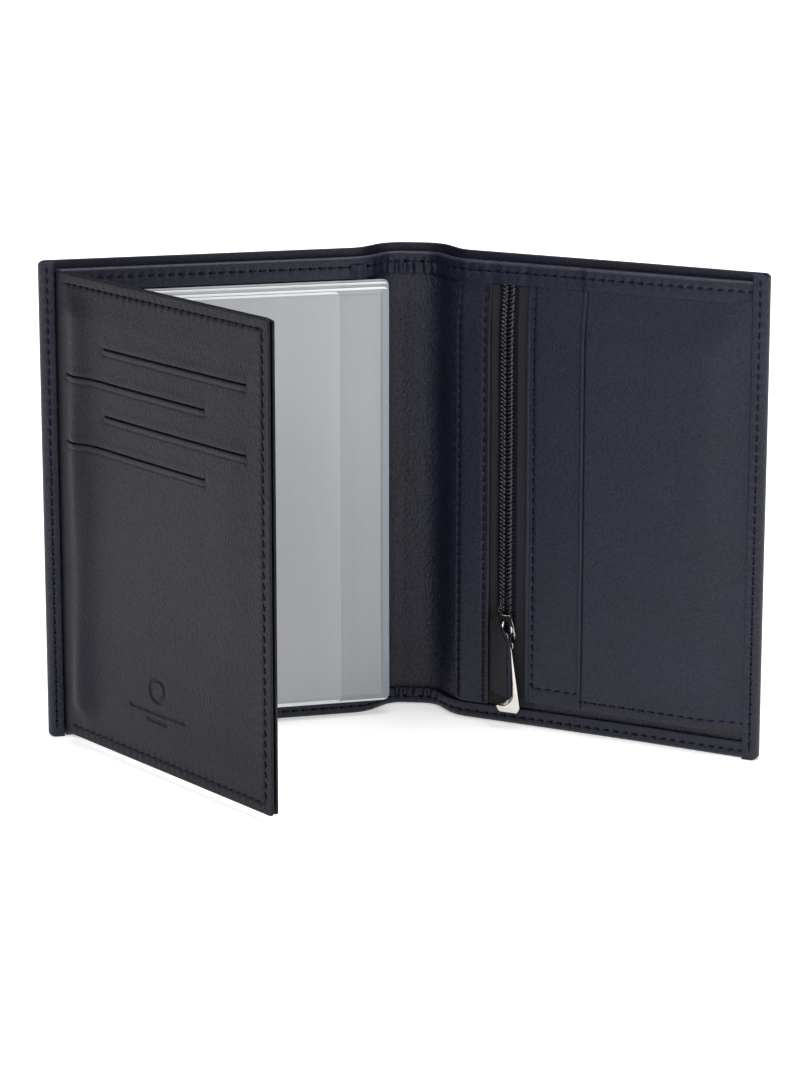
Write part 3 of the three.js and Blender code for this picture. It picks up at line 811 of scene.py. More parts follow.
def finish(name):
    """A finish by its name, made the first time that it is asked for."""
    found = bpy.data.materials.get(name)
    if found:
        return found
    scene = bpy.context.scene
    skin, zipper, pages = scene.holder_leather, scene.holder_zip, scene.holder_pages
    fine, depth = skin.grain, skin.grain_depth
    cool = (0.87, 0.84, 1)  # a bluish sheen, which the flap's leather has and the rest doesn't
    makers = {
        "navy_calf": lambda n: leather(n, skin.colour, fine, depth * 1.4, 0.44, 1.5, 0.84),
        "lining_calf": lambda n: leather(n, skin.lining, fine * 1.5, depth * 3.6, 0.42, 1.3, 1.15),
        "flap_calf": lambda n: leather(n, skin.flap, fine, depth * 2, 0.42, 1.9, 0.51, cool),
        "sewing_thread": lambda n: thread(n, scene.holder_stitch.colour),
        # painted shade: the dark inside of a needle hole
        "needle_hole": lambda n: board(n, (0.0008, 0.0008, 0.0015)),
        "zip_tape": lambda n: woven(n, zipper.tape, 0.35 * MM),
        "pocket_twill": lambda n: woven(n, (0.012, 0.012, 0.016), 0.3 * MM),
        "ribbon_twill": lambda n: woven(n, (0.022, 0.024, 0.034), 0.45 * MM),
        "tab_calf": lambda n: leather(n, (0.0042, 0.0045, 0.0085), fine, depth * 0.6, 0.38, 1.0, 0.6),
        "raw_edge": lambda n: board(n, (0.026, 0.029, 0.042)),
        # painted reflection: a dull dark finish for the slider's flat front, which the bright nickel would mirror
        "shaded_nickel": lambda n: board(n, (0.014, 0.012, 0.01)),
        # painted shade: a darker copy of the milky vinyl
        "shaded_vinyl": lambda n: vinyl(n, [0.84 * c for c in pages.tint], 0.62),
        "milky_vinyl": lambda n: vinyl(n, pages.tint, pages.opacity),
        "welded_vinyl": lambda n: vinyl(n, [c * k for c, k in zip(pages.tint, (0.6, 0.67, 0.74))], 0.7),
        # painted highlight: a whiter, more opaque copy of the vinyl for the sheets' top and bottom edges
        "bright_vinyl": lambda n: vinyl(n, (0.86, 0.88, 0.9), 0.85),
        "coil_nylon": lambda n: nylon(n, (0.007, 0.0075, 0.011)),
        "bright_nickel": lambda n: plated(n, zipper.nickel, 0.2),
        "fibre_board": lambda n: board(n, (0.07, 0.055, 0.04)),
    }
    return makers[name](name)


def wear(node, name):
    """Gives a finish to a CAD node that is shown as it is."""
    materials = frame["nodes"][node].data.materials
    materials.clear()
    materials.append(finish(name))


# ---------------------------------------------------------------- shared layout


def leaves():
    skin = bpy.context.scene.holder_leather
    return [Leaf(side, skin.ease, skin.curl) for side in (-1, 1)]


def turned_edge(leaf, back, front, stop, upward):
    """Where a point lies on leather that is turned round the lining's top or bottom edge.
    back and front are the levels of the two legs' middles, stop is the height that the turn reaches."""
    radius = (front - back) / 2
    middle = (front + back) / 2
    sign = 1 if upward else -1
    bow = math.pi * radius

    def place(u, off, q):
        # q is 0 where the back leg ends and the turn starts
        height = stop - sign * radius
        angle = np.clip(q / radius, 0, math.pi)
        w = middle - (radius + off) * np.cos(angle)
        z = height + sign * (radius + off) * np.sin(angle)
        z = z - sign * np.where(q < 0, -q, 0) - sign * np.where(q > bow, q - bow, 0)
        if upward:
            w = w + leaf.hem_lift(u) * smooth(q / bow)
        return leaf.at(u, w, z)

    return place, bow


def gathers(leaf, u, down, pitch, strength):
    """Leather that puckers at each stitch, and pleats below the seam where the spine bends.
    down is the distance below the seam."""
    wave = np.cos(2 * math.pi * u / pitch)
    pull = bell(down, 1.3 * MM)
    near = bell(u - leaf.spine_end, 7 * MM)
    pleat = near * bell(down - 1.7 * MM, 1.5 * MM)
    return strength * (0.4 * wave * pull + 1.5 * wave * pleat)


def channel(place, centre, width=0.55 * MM, depth=0.12 * MM):
    """The dip that a row of stitches pulls into the leather."""
    return -depth * bell(place - centre, width)


# ---------------------------------------------------------------- operators


class HOLDER_OT_outer_leather(bpy.types.Operator):
    """The outer leather, turned round each cover's edge into its side hem"""

    bl_idname = "holder.outer_leather"
    bl_label = "Outer leather"

    def execute(self, context):
        for leaf in leaves():
            shell = leaf.strip.extent(f"shell_cover_{leaf.name}")
            hem = leaf.strip.extent(f"side_hem_cover_{leaf.name}")
            thick = (shell.w1 - shell.w0 + hem.w1 - hem.w0) / 2
            back = (shell.w0 + shell.w1) / 2
            raised = 0.5 * MM if leaf.side > 0 else 0.1 * MM
            front = (hem.w0 + hem.w1) / 2 + raised
            radius = (front - back) / 2
            turn = shell.u1 - thick / 2 - radius
            bow = math.pi * radius
            corner = 2 * MM
            pitch = context.scene.holder_stitch.pitch

            def turned(p, reach):
                bent = np.clip((p - turn) / radius, 0, math.pi)
                u = np.minimum(p, turn) + reach * np.sin(bent) - np.maximum(p - turn - bow, 0)
                return u, (back + front) / 2 - reach * np.cos(bent)

            def place(p, off, z):
                return leaf.at(*turned(p, radius + off), z)

            def cut(p):
                inside = np.clip((shell.u1 - turned(p, radius)[0]) / corner, 0, 1)
                taken = corner * (1 - np.sqrt(1 - (1 - inside) ** 2))
                return taken, taken

            last = turn + bow + (turn - hem.u0)
            seam_line = turn + bow + (turn - (hem.u0 + hem.u1) / 2)
            for part, start, end, first, second, near, far in leaf.spans():
                over = part == "cover"
                end = last if over else end
                fine = [(turn + bow / 2, bow / 2, 15), (seam_line, 1.2 * MM, 7), (turn - 3 * MM, 3 * MM, 7)]
                fine = fine if over else []
                us = graded(start, end, 2.5 * MM, (0, 0.7 * MM if over else 0), fine)
                us = np.unique(np.concatenate([us, np.linspace(*sorted((near, far)), 13)]))
                zs = graded(shell.z0, shell.z1, 0.72 * MM if over else 4 * MM, (0.45 * MM, 0.45 * MM))
                piece = panel(f"outer_leather_{leaf.name}_{part}", place, us, zs, -thick / 2, thick / 2,
                              finish("navy_calf"), rims=(0, over, 1, 1), rim=0.4 * MM, cut=cut,
                              relief=lambda p, z: channel(p, seam_line) + 0.09 * MM
                              * np.cos(2 * math.pi * (z - 3.4 * MM) / pitch)
                              * bell(p - seam_line, 1.2 * MM))
                leaf.bend(piece, first, second, near, far)
                if over:
                    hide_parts(f"shell_cover_{leaf.name}", f"side_hem_cover_{leaf.name}")
                else:
                    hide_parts(f"shell_fold_{leaf.name}")
            if leaf.side < 0:
                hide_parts("shell_spine")
            lift = hem.w1 + raised - 0.1 * MM
            u = (hem.u0 + hem.u1) / 2
            row = stitches(f"side_stitching_{leaf.name}", leaf, [(u, 3.4 * MM), (u, shell.z1 - 2.6 * MM)], lift)
            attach(row, leaf.cover_body)
        return {"FINISHED"}


class HOLDER_OT_lining(bpy.types.Operator):
    """The lining, with the leather that is turned over its top and bottom edges and their stitching"""

    bl_idname = "holder.lining"
    bl_label = "Lining and hems"

    def execute(self, context):
        for leaf in leaves():
            lining = leaf.strip.extent(f"lining_cover_{leaf.name}")
            top = leaf.strip.extent(f"top_hem_cover_{leaf.name}")
            bottom = leaf.strip.extent(f"bottom_hem_cover_{leaf.name}")
            thick = top.w1 - top.w0
            front = (top.w0 + top.w1) / 2
            pitch = context.scene.holder_stitch.pitch
            for part, start, end, first, second, near, far in leaf.spans():
                over = part == "cover"
                dense = np.linspace(*sorted((near, far)), 15)
                edge = top.u1 + (0.6 * MM if leaf.side > 0 else 0) if over else end
                inner = top.u1 + 1.6 * MM if over else end
                us = np.unique(np.concatenate([graded(start, inner, 2.5 * MM), dense]))
                zs = graded(lining.z0 + 1.7 * MM, lining.z1 - 1.5 * MM, 4 * MM)
                piece = panel(f"lining_{leaf.name}_{part}", leaf.at, us, zs, lining.w0, lining.w1,
                              finish("lining_calf"), rims=(0, 0, 0, 0))
                self.fit(leaf, piece, "lining", part, first, second, near, far, "lining_leather")

                us = np.unique(np.concatenate([graded(start, edge, 0.72 * MM), dense]))
                for hem, extent, back, stop, upward, line in (
                    ("top_hem", top, lining.w0 + 0.25 * MM, lining.z1, True, lining.z1 - 2.9 * MM),
                    ("bottom_hem", bottom, lining.w0 - 0.75 * MM, 0.0, False, 2.3 * MM),
                ):
                    sign = 1 if upward else -1
                    place, bow = turned_edge(leaf, back, front, stop - sign * thick / 2, upward)
                    bent = (front - back) / 2 + thick / 2
                    leg = sign * (stop - (extent.z0 if upward else extent.z1)) - bent
                    seam = bow + sign * (stop - line) - bent
                    fine = [(bow / 2, bow / 2, 9), (seam, 1 * MM, 7)]
                    qs = graded(-2.5 * MM, bow + leg, 1.5 * MM, (0, 0.5 * MM), fine)
                    piece = panel(f"{hem}_{leaf.name}_{part}", place, us, qs, -thick / 2, thick / 2,
                                  finish("navy_calf"), rims=(0, 0, 0, 1), rim=0.45 * MM,
                                  relief=lambda u, q, s=seam: channel(q, s, 0.6 * MM, 0.16 * MM)
                                  + gathers(leaf, u, q - s, pitch, 0.32 * MM))
                    self.fit(leaf, piece, hem, part, first, second, near, far, "navy_leather")
                    row = stitches(f"{hem}_stitching_{leaf.name}_{part}", leaf,
                                   [(start + 1 * MM, line), (edge - 0.5 * MM, line)],
                                   lambda u, z, e=extent, r=upward: e.w1 - 0.12 * MM + r * leaf.hem_lift(u))
                    leaf.bend(row, first, second, near, far)
        return {"FINISHED"}

    def fit(self, leaf, piece, layer, part, first, second, near, far, slot):
        leaf.bend(piece, first, second, near, far)
        strip = "cover" if part == "cover" else "fold"
        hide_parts(f"{layer}_{strip}_{leaf.name}")
        if part == "spine" and leaf.side < 0:
            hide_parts(f"{layer}_spine")


class HOLDER_OT_slip_pocket(bpy.types.Operator):
    """The left cover's slip pocket and the strips that its pages and flap are sewn to"""

    bl_idname = "holder.slip_pocket"
    bl_label = "Slip pocket"

    def execute(self, context):
        leaf = leaves()[0]
        pocket = leaf.strip.extent("slip_pocket_left")
        us = graded(pocket.u0, pocket.u1, 3 * MM, (0.5 * MM, 0), [(pocket.u0 + 1.2 * MM, 0.8 * MM, 7)])
        zs = graded(pocket.z0, pocket.z1, 4 * MM, (0.5 * MM, 0.5 * MM))
        piece = panel("slip_pocket", leaf.at, us, zs, pocket.w0, pocket.w1, finish("navy_calf"), rims=(1, 0, 1, 1),
                      relief=lambda u, z: channel(u, pocket.u0 + 1.2 * MM, 0.2 * MM, 0.1 * MM))
        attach(piece, leaf.cover_body)
        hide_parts("slip_pocket_left")
        # the ribbon's end comes out from under the top hem, beside the crease
        across, up = graded(-0.4 * MM, 4 * MM, 0.4 * MM), graded(131.3 * MM, 135.5 * MM, 0.4 * MM)
        behind, before = 1.4 * MM, 1.8 * MM
        ribbon = panel("ribbon_end", leaf.at, across, up, behind, before, finish("ribbon_twill"), rim=0.1 * MM,
                       relief=lambda u, z: 0.03 * MM * np.sin(u * 5200) * np.sin(z * 4300))
        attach(ribbon, leaf.cover_body)
        for node, finish_name, slot in (("page_hinge_strip", "milky_vinyl", "clear_vinyl"),
                                        ("flap_hinge_strip", "flap_calf", "navy_leather")):
            strip = leaf.strip.extent(node)
            piece = panel(node.replace("hinge_strip", "root_strip"), leaf.at, graded(strip.u0, strip.u1, 0.6 * MM),
                          graded(strip.z0, strip.z1, 5 * MM), strip.w0, strip.w1, finish(finish_name), rim=0.2 * MM)
            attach(piece, leaf.cover_body)
            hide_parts(node)
        return {"FINISHED"}


class HOLDER_OT_pages(bpy.types.Operator):
    """The clear pages: two welded sheets each, a step apart, and a shorter sheet on the front one"""

    bl_idname = "holder.pages"
    bl_label = "Clear pages"

    def execute(self, context):
        look = context.scene.holder_pages
        for body, nodes in (("rear_page", ("rear_page_back", "rear_page_front")),
                            ("front_page", ("front_page_back", "front_page_front"))):
            strip = Strip(nodes[0], joint_place(f"{body}_turn"))
            for layer, node in enumerate(nodes):
                sheet = strip.extent(node)
                rank = layer + (2 if body == "front_page" else 0)
                end = sheet.u1 + look.reach - 0.15 * look.step * rank
                low = sheet.z0 - look.reach * 0.8 + 0.25 * look.step * rank
                top = sheet.z1 - look.step * (0.5 + 0.8 * rank)
                self.sheet(f"{node}_sheet", strip, body, sheet._replace(u1=end, z0=low, z1=top), node)
        short = sheet._replace(u1=end - look.setback, z0=low + 0.5 * MM, z1=top - 0.9 * MM,
                               w0=sheet.w1 + 0.03 * MM, w1=sheet.w1 + 0.15 * MM)
        self.sheet("front_page_short_sheet", strip, body, short, None)
        return {"FINISHED"}

    def sheet(self, name, strip, body, size, node):
        run = Run([strip.zero, strip.zero + strip.along * size.u1],
                  settle=lambda u, z: 0.12 * MM * smooth(u / (40 * MM)) * (np.sin(z * 47 + u * 23) - 1))
        border = 2.3 * MM  # from the free edge to the weld
        weld_u, weld_low, weld_top = size.u1 - border, size.z0 + border * 0.8, size.z1 - border * 0.8
        us = graded(size.u0, size.u1, 3 * MM, (0, 1.8 * MM),
                    [(weld_u, 0.5 * MM, 7), (size.u1 - 0.9 * MM, 0.9 * MM, 9)])
        zs = graded(size.z0, size.z1, 3 * MM, (0.6 * MM, 0.6 * MM),
                    [(weld_low, 0.5 * MM, 7), (weld_top, 0.5 * MM, 7)])

        def ridges(u, z):
            across = bell(u - weld_u, 0.2 * MM) * (z > weld_low) * (z < weld_top)
            level = bell(z - weld_low, 0.2 * MM) + bell(z - weld_top, 0.2 * MM)
            return bool(node) * 0.2 * MM * np.maximum(across, level * (u < weld_u))

        piece = panel(name, run.at, us, zs, size.w0, size.w1, finish("milky_vinyl"), rims=(0, 1, 1, 1),
                      rim=0.15 * MM, low_corners=(0, 1.8 * MM), high_corners=(0, 1.8 * MM), relief=ridges)
        mesh = piece.data
        for look in ("welded_vinyl", "bright_vinyl", "shaded_vinyl"):
            mesh.materials.append(finish(look))
        setback = bpy.context.scene.holder_pages.setback
        for face in mesh.polygons:
            spot = face.center
            along = (np.array(spot[:2]) - strip.zero) @ strip.along
            # painted shade: each sheet is darker from the short sheet's edge out to the weld
            if node and along > size.u1 - setback:
                face.material_index = 3
            if node and (along > weld_u or spot.z < weld_low):
                face.material_index = 1
            # painted highlight: a bright strip along the top and bottom edges of every sheet but the back ones
            if not (node or "").endswith("back") and (spot.z > size.z1 - 0.62 * MM or spot.z < size.z0 + 0.5 * MM):
                face.material_index = 2
        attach(piece, body)
        if node:
            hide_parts(node)


class HOLDER_OT_card_flap(bpy.types.Operator):
    """The card flap: a front leather with four card slits, its root bent out of the side hem, and a back leather"""

    bl_idname = "holder.card_flap"
    bl_label = "Card flap"

    def execute(self, context):
        leaf = leaves()[0]
        hinge = joint_place("card_flap_hinge")
        flap = Strip("flap_front", hinge)
        front = flap.extent("flap_front")
        back = flap.extent("flap_back")
        middle = (front.w0 + front.w1) / 2
        hem = leaf.strip.extent("side_hem_cover_left")
        # the root rises beside the side hem and bends over into the flap
        foot = leaf.at(hem.u0 - 0.15 * MM - (front.w1 - front.w0) / 2, hem.w0 + 0.4 * MM, 0)[:2]
        up = leaf.facing(hem.u0)[:2]
        land = flap.zero + flap.along * 5 * MM + flap.inward * middle
        t = np.linspace(0, 1, 25)[:, None]
        pull = 3.4 * MM
        root = ((1 - t) ** 3 * foot + 3 * (1 - t) ** 2 * t * (foot + up * pull)
                + 3 * (1 - t) * t ** 2 * (land - flap.along * pull) + t ** 3 * land)
        rest = [land + flap.along * k * 0.5 * MM for k in range(1, round((front.u1 - 5 * MM) / (0.5 * MM)) + 2)]
        length = np.hypot(*np.diff(root, axis=0).T).sum()
        run = Run([*root, *rest], 5 * MM - length)
        start = 5 * MM - length

        slits, pockets = self.slits(flap)
        edge = 3 * MM  # from the flap's edge to its seam
        pitch = context.scene.holder_stitch.pitch
        u_fine = [(u, 0.9 * MM, 7) for slit in slits for u in slit[:2]] + [(front.u1 - edge, 1 * MM, 7)]
        z_fine = [(slit[2] + drop, 0.6 * MM, 12) for slit in slits for drop in (0, -1.9 * MM)]
        z_fine += [(front.z0 + edge, 1 * MM, 7), (front.z1 - edge, 1 * MM, 7)]
        emblem = (front.u0 + 42.5 * MM, front.z0 + 20.5 * MM)
        u_fine.append((emblem[0], 14 * MM, 101))
        z_fine.append((emblem[1], 8 * MM, 57))
        us = graded(start, front.u1, 0.75 * MM, (0, 0.5 * MM), u_fine)
        us = np.unique(np.concatenate([us, np.linspace(start, 5 * MM, 21)]))
        zs = graded(front.z0, front.z1, 0.75 * MM, (0.5 * MM, 0.5 * MM), z_fine)

        def seam(across, along):
            return (channel(across, 0, 0.6 * MM, 0.16 * MM)
                    + 0.12 * MM * np.cos(2 * math.pi * along / pitch) * bell(across, 1.4 * MM))

        def relief(u, z):
            far = front.u1 - edge
            made = seam(u - far, z) * (z > front.z0 + edge) * (z < front.z1 - edge)
            for line in (front.z0 + edge, front.z1 - edge):
                made = made + seam(z - line, u) * (u < far) * (u > 2 * MM)
            for low, high, height in slits:
                along = smooth((u - low) / (0.5 * MM)) * smooth((high - u) / (0.5 * MM))
                made = made - 0.78 * MM * along * np.exp(-((z - height) / (0.2 * MM)) ** 4)
                made = made + 0.18 * MM * along * bell(z - height + 0.8 * MM, 0.5 * MM)
                made = made - 0.12 * MM * along * bell(z - height + 1.9 * MM, 0.35 * MM)
                made = made + 0.12 * MM * along * bell(z - height - 1.4 * MM, 1 * MM)
                for end in (low, high):
                    spot = ((u - end) / (1.3 * MM)) ** 2 + ((z - height + 0.8 * MM) / (1.6 * MM)) ** 2
                    made = made - 0.28 * MM * np.exp(-spot)
            made = made - 0.3 * MM * self.emblem(u - emblem[0], z - emblem[1])
            # the leather is soft and full beside its hinge, and flat where it is sewn
            inside = smooth((z - front.z0 - edge) / (9 * MM)) * smooth((front.z1 - edge - z) / (9 * MM))
            full = 2.0 * bell(u - 7.5 * MM, 5 * MM) * (1 + 0.2 * np.sin(z * 95))
            full = full + 0.3 * smooth((u - 12 * MM) / (20 * MM)) * smooth((front.u1 - 6 * MM - u) / (14 * MM))
            sway = 0.22 * np.sin(z * 61 + u * 35) * smooth(u / (10 * MM)) * smooth((front.u1 - u) / (20 * MM))
            return made + MM * inside * (full + sway)

        piece = panel("flap_front_leather", run.at, us, zs, -(front.w1 - front.w0) / 2, (front.w1 - front.w0) / 2,
                      finish("flap_calf"), rims=(0, 1, 1, 1), rim=0.45 * MM, low_corners=(0, 1.3 * MM),
                      high_corners=(0, 1.3 * MM), relief=relief)
        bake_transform(piece)
        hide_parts("flap_front")

        back_run = Run([flap.zero, flap.zero + flap.along * front.u1])
        us = graded(back.u0, back.u1, 3 * MM, (0.4 * MM, 0.4 * MM))
        zs = graded(back.z0, back.z1, 4 * MM, (0.4 * MM, 0.4 * MM))
        piece = panel("flap_back_leather", back_run.at, us, zs, back.w0, back.w1 + 0.25 * MM, finish("flap_calf"),
                      rim=0.4 * MM, low_corners=(0, 1.3 * MM), high_corners=(0, 1.3 * MM))
        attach(piece, "card_flap")
        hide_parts("flap_back")

        line = [(2.5 * MM, front.z1 - edge), (front.u1 - edge, front.z1 - edge),
                (front.u1 - edge, front.z0 + edge), (2.5 * MM, front.z0 + edge)]
        row = stitches("flap_stitching", back_run, line, front.w1 - 0.08 * MM)
        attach(row, "card_flap")
        for node in pockets:
            wear(node, "pocket_twill")
        return {"FINISHED"}

    def slits(self, flap):
        """Each card slit as (low u, high u, height), read from the cuts in the flap's CAD node."""
        pockets = sorted(n for n in frame["nodes"] if n.startswith("card_pocket_"))
        place = node_points("flap_front")
        u = (place[:, :2] - flap.zero) @ flap.along
        found = []
        for node in pockets:
            pocket = flap.extent(node)
            cut = (place[:, 2] > pocket.z0) & (place[:, 2] < pocket.z1)
            found.append((u[cut].min(), u[cut].max(), place[cut, 2].mean()))
        return found, pockets

    def emblem(self, u, z):
        """A plain ring over two bars, as a pressing: 1 where the leather is pressed down."""
        ring = np.abs(np.hypot(u, z - 2.8 * MM) - 3.2 * MM) - 0.4 * MM
        long_bar = np.maximum(np.abs(u) - 12.5 * MM, np.abs(z + 3.6 * MM) - 0.45 * MM)
        short_bar = np.maximum(np.abs(u) - 4.5 * MM, np.abs(z + 6.1 * MM) - 0.35 * MM)
        return smooth(1 - np.minimum(np.minimum(ring, long_bar), short_bar) / (0.35 * MM))


class HOLDER_OT_zip_pocket(bpy.types.Operator):
    """The right cover's zipped pocket: leather beside the window, tapes, coil, stops and the card panel"""

    bl_idname = "holder.zip_pocket"
    bl_label = "Zip pocket"

    def execute(self, context):
        leaf = leaves()[1]
        left = leaf.strip.extent("zip_panel_left")
        right = leaf.strip.extent("zip_panel_right")
        card = leaf.strip.extent("card_panel_right")
        skin = finish("navy_calf")
        edge = 1.2 * MM  # from a panel's edge to its seam
        top = leaf.strip.extent("top_hem_cover_right").z0 + 1 * MM  # the pockets run in under the hems
        left = left._replace(z1=top)
        right = right._replace(u1=right.u1 + 0.9 * MM, z0=right.z0 + 2.2 * MM, z1=top)
        card = card._replace(u1=card.u1 + 0.9 * MM, z1=top)
        self.leather_panel("zip_border_left", leaf, left, skin, "zip_panel_left",
                           [left.u0 + edge, left.u1 - 1.8 * MM], (1, 1, 1, 0), low_corners=(2.4 * MM, 0.8 * MM))
        self.leather_panel("zip_border_right", leaf, right, skin, "zip_panel_right",
                           [right.u0 + 2.5 * MM], (1, 0, 1, 0), foot=4.6 * MM)
        self.leather_panel("card_pocket_front", leaf, card, skin, "card_panel_right", [card.u0 + 1.3 * MM],
                           (1, 0, 1, 0), crease=True, foot=2.6 * MM)
        self.sew(leaf, left, right, card)
        self.tapes(leaf, top)
        self.coil(context, leaf, top)
        for node in ("zip_bottom_stop", "zip_top_stop"):
            stop = leaf.strip.extent(node)
            if node == "zip_top_stop":
                stop = stop._replace(z0=top - 1 * MM, z1=top - 1 * MM + stop.z1 - stop.z0,
                                     w0=stop.w0 * 0.42, w1=stop.w1 * 0.42)
            loop = round_loop([(stop.u0, stop.z0), (stop.u1, stop.z0), (stop.u1, stop.z1), (stop.u0, stop.z1)],
                              0.5 * MM)
            piece = cut_plate(f"{node}_clip", [loop], stop.w0, stop.w1, 0.18 * MM, leaf.at, finish("bright_nickel"))
            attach(piece, leaf.cover_body)
            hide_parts(node)
        bag = leaf.strip.extent("zip_pocket_bag")
        bag = bag._replace(z0=max(bag.z0, right.z0 + 0.8 * MM))
        us, zs = graded(bag.u0, bag.u1, 3 * MM), graded(bag.z0, bag.z1, 4 * MM)
        piece = panel("zip_pocket_cloth", leaf.pressed, us, zs, bag.w0, bag.w1, finish("pocket_twill"), rim=0.1 * MM)
        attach(piece, leaf.cover_body)
        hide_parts("zip_pocket_bag")
        return {"FINISHED"}

    def leather_panel(self, name, leaf, size, skin, node, lines, rims, crease=False, foot=0.0, low_corners=(0, 0)):
        pitch = bpy.context.scene.holder_stitch.pitch
        us = graded(size.u0, size.u1, 3 * MM, (0.5 * MM * rims[0], 0.5 * MM * rims[1]),
                    [(line, 1.6 * MM, 13) for line in lines] + [(size.u1 - 6 * MM, 6 * MM, 13)])
        fine = [(size.z0 + foot, 1 * MM, 9)] if foot else []
        zs = graded(size.z0, size.z1, 4 * MM if crease else 0.72 * MM, (0.5 * MM, 0), fine)
        width, depth = (0.22 * MM, 0.3 * MM) if crease else (0.55 * MM, 0.14 * MM)

        def relief(u, z):
            made = sum(channel(u, line, width, depth) for line in lines)
            for line in lines:
                made = made + 0.08 * MM * (not crease) * np.cos(2 * math.pi * z / pitch) \
                    * bell(u - line, 1.1 * MM)
            # a bead is pressed along the edges that stay open
            for used, gap in ((rims[0], u - size.u0), (rims[1], size.u1 - u)):
                made = made - used * 0.16 * MM * bell(gap - 1.35 * MM, 0.25 * MM)
            if foot:
                made = made + channel(z, size.z0 + foot, 0.5 * MM, 0.1 * MM) * (u > lines[-1])
            return made

        piece = panel(name, leaf.pressed, us, zs, size.w0, size.w1, skin, rims=rims, relief=relief,
                      low_corners=low_corners)
        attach(piece, leaf.cover_body)
        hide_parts(node)

    def sew(self, leaf, left, right, card):
        seams = {
            "zip_stitching_outer": ([(left.u0 + 1.2 * MM, left.z0 + 2 * MM), (left.u0 + 1.2 * MM, left.z1)], left),
            "zip_stitching_left": ([(left.u1 - 1.8 * MM, left.z0 + 1 * MM), (left.u1 - 1.8 * MM, left.z1)], left),
            "zip_stitching_right": ([(right.u0 + 2.5 * MM, right.z1), (right.u0 + 2.5 * MM, right.z0 + 4.6 * MM),
                                     (card.u0 - 0.5 * MM, right.z0 + 4.6 * MM)], right),
            "card_stitching": ([(card.u0 + 1.5 * MM, card.z0 + 2.6 * MM), (card.u1 - 0.5 * MM, card.z0 + 2.6 * MM)],
                               card),
        }
        for name, (line, size) in seams.items():
            row = stitches(name, leaf, line, lambda u, z, w=size.w1: w * leaf.press(u, z) - 0.1 * MM)
            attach(row, leaf.cover_body)

    def tapes(self, leaf, top):
        for side in ("left", "right"):
            node = f"zip_tape_{side}"
            tape = leaf.strip.extent(node)
            us = graded(tape.u0, tape.u1, 0.6 * MM, (0.15 * MM, 0.15 * MM))
            zs = graded(tape.z0, top, 4 * MM)
            piece = panel(f"woven_tape_{side}", leaf.pressed, us, zs, tape.w0, tape.w1, finish("zip_tape"),
                          rim=0.15 * MM, relief=lambda u, z: 0.05 * MM * np.cos(u / (1.3 * MM) * 2 * math.pi))
            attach(piece, leaf.cover_body)
            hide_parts(node)

    def coil(self, context, leaf, top):
        pitch = context.scene.holder_zip.tooth_pitch
        nylon_finish = finish("coil_nylon")
        sides = {side: leaf.strip.extent(f"zip_coil_{side}") for side in ("left", "right")}
        middle = (sides["left"].u1 + sides["right"].u0) / 2
        for side, sign in (("left", -1), ("right", 1)):
            coil = sides[side]._replace(z1=top)
            width = (coil.u1 - coil.u0) * 1.28
            height = coil.w1 - coil.w0
            u = middle + sign * width * 0.48
            lift = coil.w0 + height * 0.52
            shift = 0 if sign < 0 else pitch / 2
            line = [(u, coil.z0 + shift), (u, coil.z1)]
            turn = (width * 1.12, pitch * 0.5, height * 0.85)
            slant = -sign * math.radians(62)
            teeth = self.row(f"coil_turns_{side}", leaf, line, lift, pitch, turn, slant, nylon_finish)
            u_sewn = middle + sign * width * 1.12
            line = [(u_sewn, coil.z0), (u_sewn, coil.z1)]
            sewn = self.row(f"coil_sewing_{side}", leaf, line, coil.w0 + 0.1 * MM, pitch,
                            (pitch * 0.95, width * 0.36, height * 0.6), sign * math.radians(12),
                            finish("sewing_thread"))
            core = self.row(f"coil_core_{side}", leaf, [(u, coil.z0), (u, coil.z1)], coil.w0 + 0.2 * MM, pitch * 2,
                            (pitch * 2.6, width * 0.55, height * 0.3), 0, nylon_finish)
            piece = join(f"zip_chain_{side}", [teeth, sewn, core])
            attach(piece, leaf.cover_body)
            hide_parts(f"zip_coil_{side}")

    def row(self, name, leaf, line, lift, pitch, size, slant, material):
        (u0, z0), (u1, z1) = line
        z = np.linspace(z0, z1, ROW_POINTS)
        u = np.linspace(u0, u1, ROW_POINTS)
        return bead_row(name, leaf.pressed(u, lift, z), leaf.facing(u), pitch, size, slant, material)


